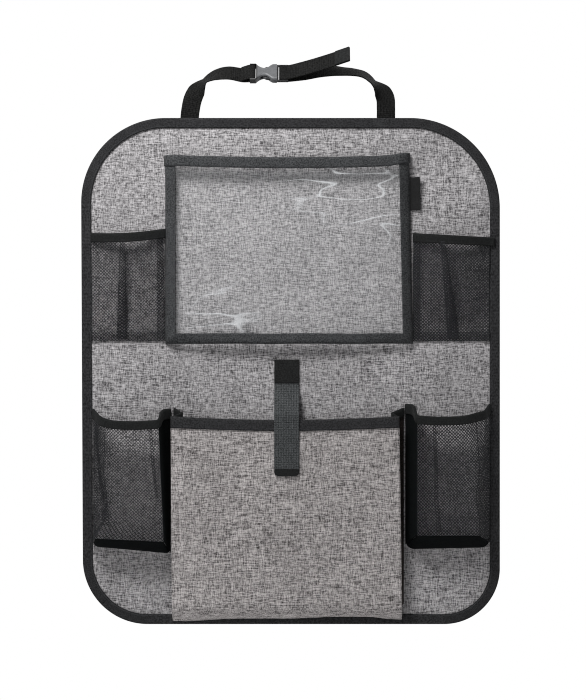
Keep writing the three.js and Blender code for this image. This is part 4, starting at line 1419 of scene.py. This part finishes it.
@dataclass
class CentrePocket:
    """The grey cloth pocket with folded gussets."""

    left: float = 122.9
    right: float = 111.6
    flare: float = 3.0
    top: float = 48.0
    droop: float = 3.6
    bottom: float = 255.0
    depth: float = 19.0
    tape: float = 10.0
    curve: float = 15.0
    fold: float = 9.0
    front_size: tuple[float, float] = (0.236, 0.222)

    def edge(self, right: bool, z: float) -> float:
        """The left or right edge of the front at a height."""
        drop = min(1.0, max(0.0, (-self.top - z) / (self.bottom - self.top)))
        return self.right + self.flare * drop if right else -self.left + self.flare / 2 * drop

    def stand_off(self, u: float, z: float) -> float:
        """How far the front stands off the panel."""
        above = min(1.0, max(0.0, (z + self.bottom) / self.curve))
        rounded = math.sqrt(1 - (1 - above) ** 2)
        up = min(1.0, max(0.0, (z + self.bottom) / (self.bottom - self.top)))
        belly = 2.5 * math.sin(math.pi * u) * math.sin(math.pi * up)
        return 0.9 + (self.depth - 0.9) * rounded + belly

    def hem_at(self, u: float) -> float:
        """How far down the front's lower edge hangs, which waves a little over the binding."""
        left, right = 3.6 * (1 - ease(u, 0.0, 0.35)), 1.6 * ease(u, 0.86, 1.0)
        return self.bottom - 1.0 + left + right - 2.2 * ease(u, 0.5, 0.72) * (1 - ease(u, 0.84, 0.97))

    def front(self, u: float, v: float) -> Vector:
        """The front's surface."""
        inside = min(1.0, max(0.0, u))
        top = -self.top - self.droop * math.sin(math.pi * inside)
        z = mix(-self.hem_at(inside), top, v)
        x = mix(self.edge(False, z), self.edge(True, z), u)
        calm = math.sin(math.pi * min(1.0, max(0.0, v))) ** 0.5
        slack = 0.9 * ripple(x, z, 55.0, 7.0) * calm
        hang = 0.7 * ripple(x, z * 0.35, 30.0, 2.0) * calm * (1 - v)
        return off_panel(x, z, self.stand_off(inside, z) + slack + hang)

    def gusset(self, right: bool) -> Place:
        """A folded gusset's surface: u from the panel to the front."""
        inward = -1.0 if right else 1.0
        # The right seam is set out far enough that the dark gusset also covers the panel's shaded strip
        # beside it, as painted shade.
        seam_x = self.right + 4.8 if right else -self.left + 3.2

        def place(u: float, v: float) -> Vector:
            """A point of the gusset."""
            seam = off_panel(seam_x, mix(-self.bottom + self.curve, -self.top + 9, v), mix(0.7, 2.0, v))
            z = mix(-self.bottom + self.curve, -self.top, v)
            front = off_panel(self.edge(right, z) + inward * 1.0, z, self.stand_off(0.0, z) - 0.9)
            point = seam.lerp(front, u)
            point.x += inward * self.fold * (1 - abs(2 * u - 1)) * v * MM
            return point

        return place

    def build(self, materials: Materials) -> None:
        """Builds the front, the gussets and the tapes."""
        front = sheet_object("centre_pocket_front", bent_grid(90, 84, self.front, self.front_size), 1.2)
        dress(front, materials.lit_pocket_cloth, Slot.CLOTH, "centre_front")
        tape = Tape(width=self.tape, half=1.3, length=234.0, columns=90)
        height = self.bottom - self.top
        top = tape.build("centre_pocket_tape", self.front, height)
        dress(top, materials.binding, Slot.TAPE, "centre_tape")
        seam = Stitching().along(
            "centre_stitches", [wall_line(self.front, height, self.tape - 1.7, 1.75)], [230.0])
        dress(seam, materials.stitch, Slot.TAPE)
        for side, right in (("left", False), ("right", True)):
            surface = self.gusset(right)
            cloth = sheet_object(f"centre_{side}_side", bent_grid(16, 60, surface, (0.03, 0.2)), 0.8)
            dress(cloth, materials.shaded_pocket_side, Slot.CLOTH, f"centre_{side}_gusset")
            declare_folded(surface)
            fold = Tape(width=8.0, half=0.95, length=30.0, columns=30)
            loop = fold.build(f"centre_{side}_loop", surface, height)
            dress(loop, materials.pocket_tape, Slot.TAPE, f"centre_{side}_fold_tape")


# Closure strap


@dataclass
class Closure:
    """The webbing strap that closes the centre pocket."""

    pocket: CentrePocket
    width: float = 25.6
    centre: float = -3.9
    top: float = 11.9
    bottom: float = -107.6
    sewn: float = 25.0
    tip: float = 7.5
    tip_radius: float = 4.6

    def stand_off(self, z: float) -> float:
        """How far the strap's middle stands off the panel."""
        mouth = -self.pocket.top - self.pocket.droop
        rise = ease(-z, self.sewn - self.top, -mouth - 5)
        settle = ease(-z, -mouth + 12, -mouth + 26)
        on_front = self.pocket.stand_off(0.5, min(z, mouth))
        return mix(1.1, on_front + 2.7, rise) - settle * 0.7

    def place(self, u: float, v: float) -> Vector:
        """A point of the strap, whose lower corners are rounded."""
        z = mix(self.bottom, self.top, v)
        into = min(1.0, max(0.0, 1 - (z - self.bottom) / self.tip_radius))
        width = self.width - 2 * self.tip_radius * (1 - math.sqrt(max(0.0, 1 - into ** 2)))
        wave = 0.3 * ripple(u * 20, z, 18.0, 3.0)
        return off_panel(self.centre + (u - 0.5) * width, z, self.stand_off(z) + wave)

    def build(self, materials: Materials) -> None:
        """Builds the strap, its sewn anchor and its tip."""
        length = self.top - self.bottom
        share = self.tip / length
        patch = self.sewn - 1

        def shown(u: float, v: float) -> Vector:
            """A point of the webbing above its tip."""
            return self.place(u, mix(share, 1.0, v))

        def end(u: float, v: float) -> Vector:
            """A point of the tip."""
            return self.place(u, v * share * 0.98)

        def sewn(u: float, v: float) -> Vector:
            """A point of the sewn anchor."""
            z = self.top - (1 - v) * patch
            wave = 0.15 * ripple(u * 20, z, 9.0, 1.0)
            return off_panel(self.centre + (u - 0.5) * self.width, z, 2.45 + wave)

        main = length - self.tip
        for name, place, rows, high, thickness, rounding, material, nodes in (
                ("closure_webbing", shown, 90, main, 1.5, 0.4, materials.closure, ["closure_strap"]),
                ("closure_tip", end, 12, self.tip, 1.7, 0.5, materials.pocket_tape, []),
                ("closure_patch", sewn, 16, patch, 0.9, 0.35, materials.anchor, ["closure_anchor"])):
            mesh = turned_uv(bent_grid(16, rows, place, (self.width * MM, high * MM)))
            dress(sheet_object(name, mesh, thickness, rounding), material, Slot.WEBBING, *nodes)


# Headrest strap and buckle


@dataclass
class StrapStop:
    """A place on a strap's route."""

    x: float
    z: float
    turn: float
    lift: float = 0.0


@dataclass
class HeadrestStrap:
    """The two lengths of webbing that meet in the buckle."""

    width: float = 19.0
    thickness: float = 1.2
    tilt: float = math.radians(38)
    back: float = 0.9
    panel_top: float = PANEL_HEIGHT / 2
    crown: float = PANEL_HEIGHT / 2 + 47.1
    left_foot: float = -104.0
    right_foot: float = 98.5
    socket_slot: float = -36.6
    socket_lift: float = 2.9
    socket_bar: float = 4.2
    plug_slot: float = -11.2
    plug_lift: float = 2.3
    plug_bar: float = 7.6
    half_slot: float = 1.1
    slide: float = 0.35
    shoulder: float = -13.5
    seated: float = 0.36
    hem: float = 9.5
    tail: float = 64.0
    tail_lift: float = 25.0

    @property
    def across(self) -> Vector:
        """The webbing's width direction where it runs level."""
        return Vector((0, math.sin(self.tilt), math.cos(self.tilt)))

    @property
    def face(self) -> Vector:
        """The buckle's face normal, up and forward."""
        return Vector((0, -math.cos(self.tilt), math.sin(self.tilt)))

    def round_bar(self, slot: float, away: float, lift: float, bar: float) -> list[StrapStop]:
        """Stops that carry the webbing behind a bar, through its slot and back in front."""
        past = self.half_slot + bar + 0.3
        steps = ((past, -1), (1, -1), (0.35, -0.8), (0.1, -0.5), (0, 0),
                 (0.1, 0.5), (0.35, 0.8), (1, 1), (past, 1))
        return [StrapStop(slot + away * back, self.crown, 1.0, side * lift) for back, side in steps]

    def left_route(self) -> list[StrapStop]:
        """The left length: panel, bend, level run, round the socket's bar and back."""
        x, top, slot = self.left_foot, self.panel_top, self.socket_slot
        return [
            StrapStop(x, top - 22, 0), StrapStop(x - 0.2, top - 2, 0), StrapStop(x + 0.6, top + 8, 0),
            StrapStop(x + 3, top + 20, 0.03), StrapStop(x + 7, top + 29, 0.14),
            StrapStop(x + 11.5, top + 35.5, 0.34), StrapStop(x + 15.5, top + 39.5, 0.5),
            StrapStop(x + 20.5, top + 42.8, 0.66), StrapStop(x + 26.5, top + 45.4, 0.79),
            StrapStop(x + 34, self.crown, 0.89), StrapStop(x + 42, self.crown + 0.5, 0.95, -0.5),
            StrapStop(slot - 13, self.crown, 1, -self.socket_lift),
            *self.round_bar(slot, -1, self.socket_lift, self.socket_bar),
            StrapStop(slot - 14, self.crown, 1, -1.4),
        ]

    def right_route(self) -> list[StrapStop]:
        """The right length: panel, bend, level run, round the plug's bar and out as the tail."""
        x, top, slot = self.right_foot, self.panel_top, self.plug_slot
        tail = [StrapStop(slot + 8 + self.tail * t, self.crown + 1.5 * t, 1,
                          self.plug_lift + self.tail_lift * t ** 1.2) for t in (0.2, 0.4, 0.6, 0.8, 1.0)]
        return [
            StrapStop(x, top - 22, 0), StrapStop(x, top - 2, 0), StrapStop(x, top + 12, 0),
            StrapStop(x - 0.5, top + 21, 0.03), StrapStop(x - 3.5, top + 28, 0.15),
            StrapStop(x - 8, top + 33.5, 0.33), StrapStop(x - 12.5, top + 37.5, 0.48),
            StrapStop(x - 16, top + 41, 0.56), StrapStop(x - 19.5, top + 44, 0.6),
            StrapStop(x - 24, top + 46.4, 0.63), StrapStop(x - 29.5, top + 47.8, 0.65),
            StrapStop(x - 37, top + 48.8, 0.69), StrapStop(x - 44.3, top + 49.2, 0.72),
            StrapStop(x - 53.5, top + 49.8, 0.79), StrapStop(x - 68.5, top + 49.6, 0.9, -0.5),
            StrapStop(slot + 26, top + 48.3, 1, -1.5),
            *self.round_bar(slot, 1, self.plug_lift, self.plug_bar), *tail,
        ]

    def surface(self, route: list[StrapStop], foot: Vector) -> tuple[Place, float]:
        """The webbing's surface along a route.

        Args:
            route: Its stops.
            foot: The width direction where the webbing leaves the panel.

        Returns:
            The surface, with u along the route and v across it, and the route's length in millimetres.
        """
        points = [Vector((s.x, self.back, s.z)) + self.face * s.lift
                  - self.across * min(self.slide, max(-self.slide, s.lift * 0.5)) for s in route]

        def centre(t: float) -> Vector:
            """A point of the middle line: a spline through the stops."""
            span = min(len(points) - 2, int(t * (len(points) - 1)))
            f = t * (len(points) - 1) - span
            a = points[max(0, span - 1)]
            b, c = points[span], points[span + 1]
            d = points[min(len(points) - 1, span + 2)]
            reach = (c - b).length
            start = (c - a).normalized() * reach if span > 0 else (c - b)
            end = (d - b).normalized() * reach if span < len(points) - 2 else (c - b)
            f2, f3 = f * f, f * f * f
            return (b * (2 * f3 - 3 * f2 + 1) + start * (f3 - 2 * f2 + f)
                    + c * (3 * f2 - 2 * f3) + end * (f3 - f2))

        def place(u: float, v: float) -> Vector:
            """A point of the webbing."""
            t = min(1.0, max(0.0, u))
            along = (centre(min(1.0, t + 0.002)) - centre(max(0.0, t - 0.002))).normalized()
            span = min(len(route) - 2, int(t * (len(route) - 1)))
            turn = mix(route[span].turn, route[span + 1].turn, t * (len(route) - 1) - span)
            if turn >= 1:
                return (centre(t) + self.across * (v - 0.5) * self.width) * MM
            edge_on = foot * 0.25 + Vector((0.0, 0.95, 0.2))
            wide = foot.lerp(edge_on, turn * 2) if turn < 0.5 else edge_on.lerp(self.across, turn * 2 - 1)
            wide = (wide - along * wide.dot(along)).normalized()
            return (centre(t) + wide * (v - 0.5) * self.width) * MM

        samples = [centre(i / 200) for i in range(201)]
        length = sum((b - a).length for a, b in zip(samples, samples[1:]))
        return place, length

    def build(self, materials: Materials) -> None:
        """Builds both lengths and the buckle's halves."""
        for name, route, foot, node in (
                ("left_webbing", self.left_route(), Vector((-1, 0, 0)), "left_strap"),
                ("right_webbing", self.right_route(), Vector((1, 0, 0)), "right_strap")):
            place, length = self.surface(route, foot)
            mesh = bent_grid(260, 12, place, (length * MM, self.width * MM))
            piece = sheet_object(name, mesh, self.thickness, 0.35)
            dress(piece, materials.webbing, Slot.WEBBING, node)
        self.build_hem(materials, place, length)
        self.build_seams(materials)
        self.build_buckle(materials)

    def back_line(self, start: tuple[float, float], end: tuple[float, float]) -> Line:
        """A straight line of stitches on the webbing's back, between two places in millimetres."""
        back = self.back + self.thickness / 2 + 0.1

        def line(t: float) -> tuple[Vector, Vector]:
            """A point of the line and its normal."""
            return Vector((mix(start[0], end[0], t), back, mix(start[1], end[1], t))) * MM, Vector((0, 1, 0))

        return line

    def build_seams(self, materials: Materials) -> None:
        """A box of stitches at the foot of each length, on the panel's back."""
        half, low, high = self.width / 2 - 2.5, self.panel_top - 20, self.panel_top - 5
        lines, lengths = [], []
        for x in (self.left_foot, self.right_foot):
            corners = ((x - half, low), (x + half, low), (x + half, high), (x - half, high))
            for start, end in zip(corners, corners[1:] + corners[:1]):
                lines.append(self.back_line(start, end))
                lengths.append(math.dist(start, end))
        seam = Stitching().along("strap_stitches", lines, lengths)
        dress(seam, materials.stitch, Slot.WEBBING)

    def build_hem(self, materials: Materials, place: Place, length: float) -> None:
        """The folded and sewn end of the free tail.

        Args:
            materials: The finishes.
            place: The right length's surface.
            length: Its length in millimetres.
        """
        start = 1 - self.hem / length

        def fold(u: float, v: float) -> Vector:
            """A point of the end's extra layer."""
            along, across = mix(start, 1.0, u), mix(0.005, 0.995, v)
            return place(along, across) + surface_normal(place, along, across) * self.thickness * MM

        mesh = bent_grid(10, 12, fold, (self.hem * MM, self.width * MM))
        layer = sheet_object("tail_hem", mesh, self.thickness * 0.9, 0.3)
        dress(layer, materials.pocket_tape, Slot.WEBBING)

    def build_buckle(self, materials: Materials) -> None:
        """The buckle's halves: merged copies of the solids with rounded edges, pushed fully home."""
        for name, node, material, slot in (
                ("socket_half", "buckle_socket", materials.socket, Slot.SOCKET),
                ("plug_half", "buckle_plug", materials.plug, Slot.PLUG)):
            mesh = bmesh.new()
            mesh.from_mesh(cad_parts[node].data)
            bmesh.ops.remove_doubles(mesh, verts=mesh.verts, dist=1e-6)
            bmesh.ops.dissolve_limit(mesh, angle_limit=math.radians(2), verts=mesh.verts, edges=mesh.edges)
            if node == "buckle_plug":
                shoulder = [v for v in mesh.verts if abs(v.co.x - self.shoulder * MM) < 0.1 * MM]
                bmesh.ops.translate(mesh, vec=(-self.seated * MM, 0.0, 0.0), verts=shoulder)
            piece = finish_object(name, mesh, smooth=False)
            round_edges(piece, 0.35, 3)
            dress(piece, material, slot, node)


# Studio


@dataclass(frozen=True)
class Studio:
    """The camera, the lamps, the floor and the white background."""

    scale: float = 1.032
    frame_width: int = 586
    frame_height: int = 700
    origin_u: float = 290.5
    origin_v: float = 371.0
    distance: float = 3.2
    pixel_filter: float = 1.05

    def build_camera(self) -> None:
        """A long lens straight at the organizer's front."""
        data = bpy.data.cameras.new("Camera")
        camera = bpy.data.objects.new("Camera", data)
        bpy.context.scene.collection.objects.link(camera)
        x = (self.frame_width / 2 - self.origin_u) * self.scale * MM
        z = (self.origin_v - self.frame_height / 2) * self.scale * MM
        camera.location = (x, -self.distance, z)
        camera.rotation_euler = (math.radians(90), 0.0, 0.0)
        data.sensor_fit = "VERTICAL"
        data.sensor_height = 24.0
        data.lens = data.sensor_height * self.distance / (self.frame_height * self.scale * MM)
        bpy.context.scene.camera = camera
        bpy.context.scene.cycles.filter_width = self.pixel_filter

    def build_light(self) -> None:
        """A soft key from the upper left, a weak fill and a white background."""
        self.lamp("Key", (-0.36, -0.62, 0.92), (0.0, 0.0, 0.12), 0.36, 12.9)
        self.lamp("Fill", (-0.4, -1.6, -0.4), (0.0, 0.0, -0.1), 1.0, 4.6)
        self.lamp("Back", (0.4, 1.6, 1.2), (0.0, 0.0, 0.0), 1.6, 16.0)
        world = bpy.data.worlds.new("Studio")
        bpy.context.scene.world = world
        world.use_nodes = True
        graph = Graph(world.node_tree)
        path = graph.add("LightPath")
        seen = graph.math("MAXIMUM", path.outputs["Is Camera Ray"], path.outputs["Is Transmission Ray"])
        seen = graph.math("MAXIMUM", seen, path.outputs["Is Glossy Ray"])
        white = graph.add("Background", {"Color": (1, 1, 1, 1), "Strength": 1.0})
        soft = graph.add("Background", {"Color": (0.97, 0.98, 1.0, 1), "Strength": 0.15})
        shade = graph.add("MixShader", {0: seen, 1: soft.outputs[0], 2: white.outputs[0]})
        graph.add("OutputWorld", {"Surface": shade.outputs[0]})

    def lamp(self, name: str, place: Sequence[float], target: Sequence[float],
             size: float, power: float) -> None:
        """Adds a square area lamp that faces a point."""
        data = bpy.data.lights.new(name, "AREA")
        data.size = size
        data.energy = power
        lamp = bpy.data.objects.new(name, data)
        bpy.context.scene.collection.objects.link(lamp)
        lamp.location = place
        facing = Vector(target) - Vector(place)
        lamp.rotation_euler = facing.to_track_quat("-Z", "Y").to_euler()

    def build_floor(self) -> None:
        """A pale round floor below the organizer."""
        mesh = bmesh.new()
        bmesh.ops.create_circle(mesh, cap_ends=True, segments=96, radius=0.5,
                                matrix=Matrix.Translation((0.0, 0.0, -0.42)))
        floor = finish_object("floor", mesh, smooth=False)
        material, _, shader = new_material("Pale floor")
        shader.inputs["Base Color"].default_value = (0.85, 0.85, 0.85, 1)
        shader.inputs["Roughness"].default_value = 0.9
        floor.data.materials.append(material)


def build_organizer(materials: Materials) -> None:
    """Builds every sub-assembly in order."""
    SeatPanel().build(materials)
    WindowPocket().build(materials)
    inner = PANEL_WIDTH / 2 - BINDING_WIDTH - 0.3
    UpperPocket(
        "upper_left", -inner, -129.0, tilt=4.5, droop=2.3, strand=0.45,
        # The second pleat, beside the window pocket's tape, is partly a fold and partly painted shade: an
        # extra layer of net where the tape shades the pocket.
        pleats=(Pleat(0.41, 0.43, 10.5, 4.5), Pleat(0.945, 0.925, 8.5, 6.0, layers=1))).build(materials)
    # The right pocket's net has thicker strands than the left one, so it looks darker: painted shade on that
    # side.
    UpperPocket(
        "upper_right", 126.4, inner, tilt=-4.4, droop=0.4, strand=0.76, past_rim=5.0,
        # The second pleat is painted shade: an extra layer of net along the edge that the window pocket's
        # tape shades.
        pleats=(Pleat(0.52, 0.38, 11.0, 4.0), Pleat(0.05, 0.05, 7.0, 6.0, layers=1))).build(materials)
    LowerPocket(
        "lower_left", 1.7 + 0.3 - inner, -123.8, front_outer=-192.0, front_inner=(-134.5, -128.8),
        top=51.0, seam_top=40.0, bottom=(180.5, 187.8), foot=(171.5, 174.8), soft_corner=14.0,
        foot_out=9.0, belly=3.0, strand=0.53, pleats=(
            # The first fold is partly the gusset's double layer and partly painted shade: it leans up towards
            # the binding, where the binding shades the net.
            Pleat(0.33, 0.1, 8.0, 4.0, 0.12, 0.9, 1),
            Pleat(0.93, 0.885, 2.5, 3.5, 0.32, 0.95, 1))).build(materials)
    # The right pocket's net has thicker strands than the left one, so it looks darker: painted shade on that
    # side.
    LowerPocket(
        "lower_right", inner, 118.6, front_outer=194.5, front_inner=(129.0, 129.2),
        top=46.5, seam_top=35.0, bottom=(181.5, 183.3), foot=(168.5, 168.5), soft_corner=25.0,
        foot_out=0.0, belly=1.5, strand=0.72, corner=9.0, pleats=(
            Pleat(0.25, 0.2, 5.0, 3.0, 0.03, 0.95, 1),)).build(materials)
    pocket = CentrePocket()
    pocket.build(materials)
    Closure(pocket).build(materials)
    HeadrestStrap().build(materials)


def main() -> None:
    """Builds the studio and the organizer."""
    logging.basicConfig(level=logging.INFO, format="%(name)s: %(message)s")
    bpy.context.scene.view_settings.view_transform = "Standard"
    studio = Studio()
    studio.build_camera()
    studio.build_light()
    studio.build_floor()
    build_organizer(Materials())


if __name__ == "__main__":
    main()
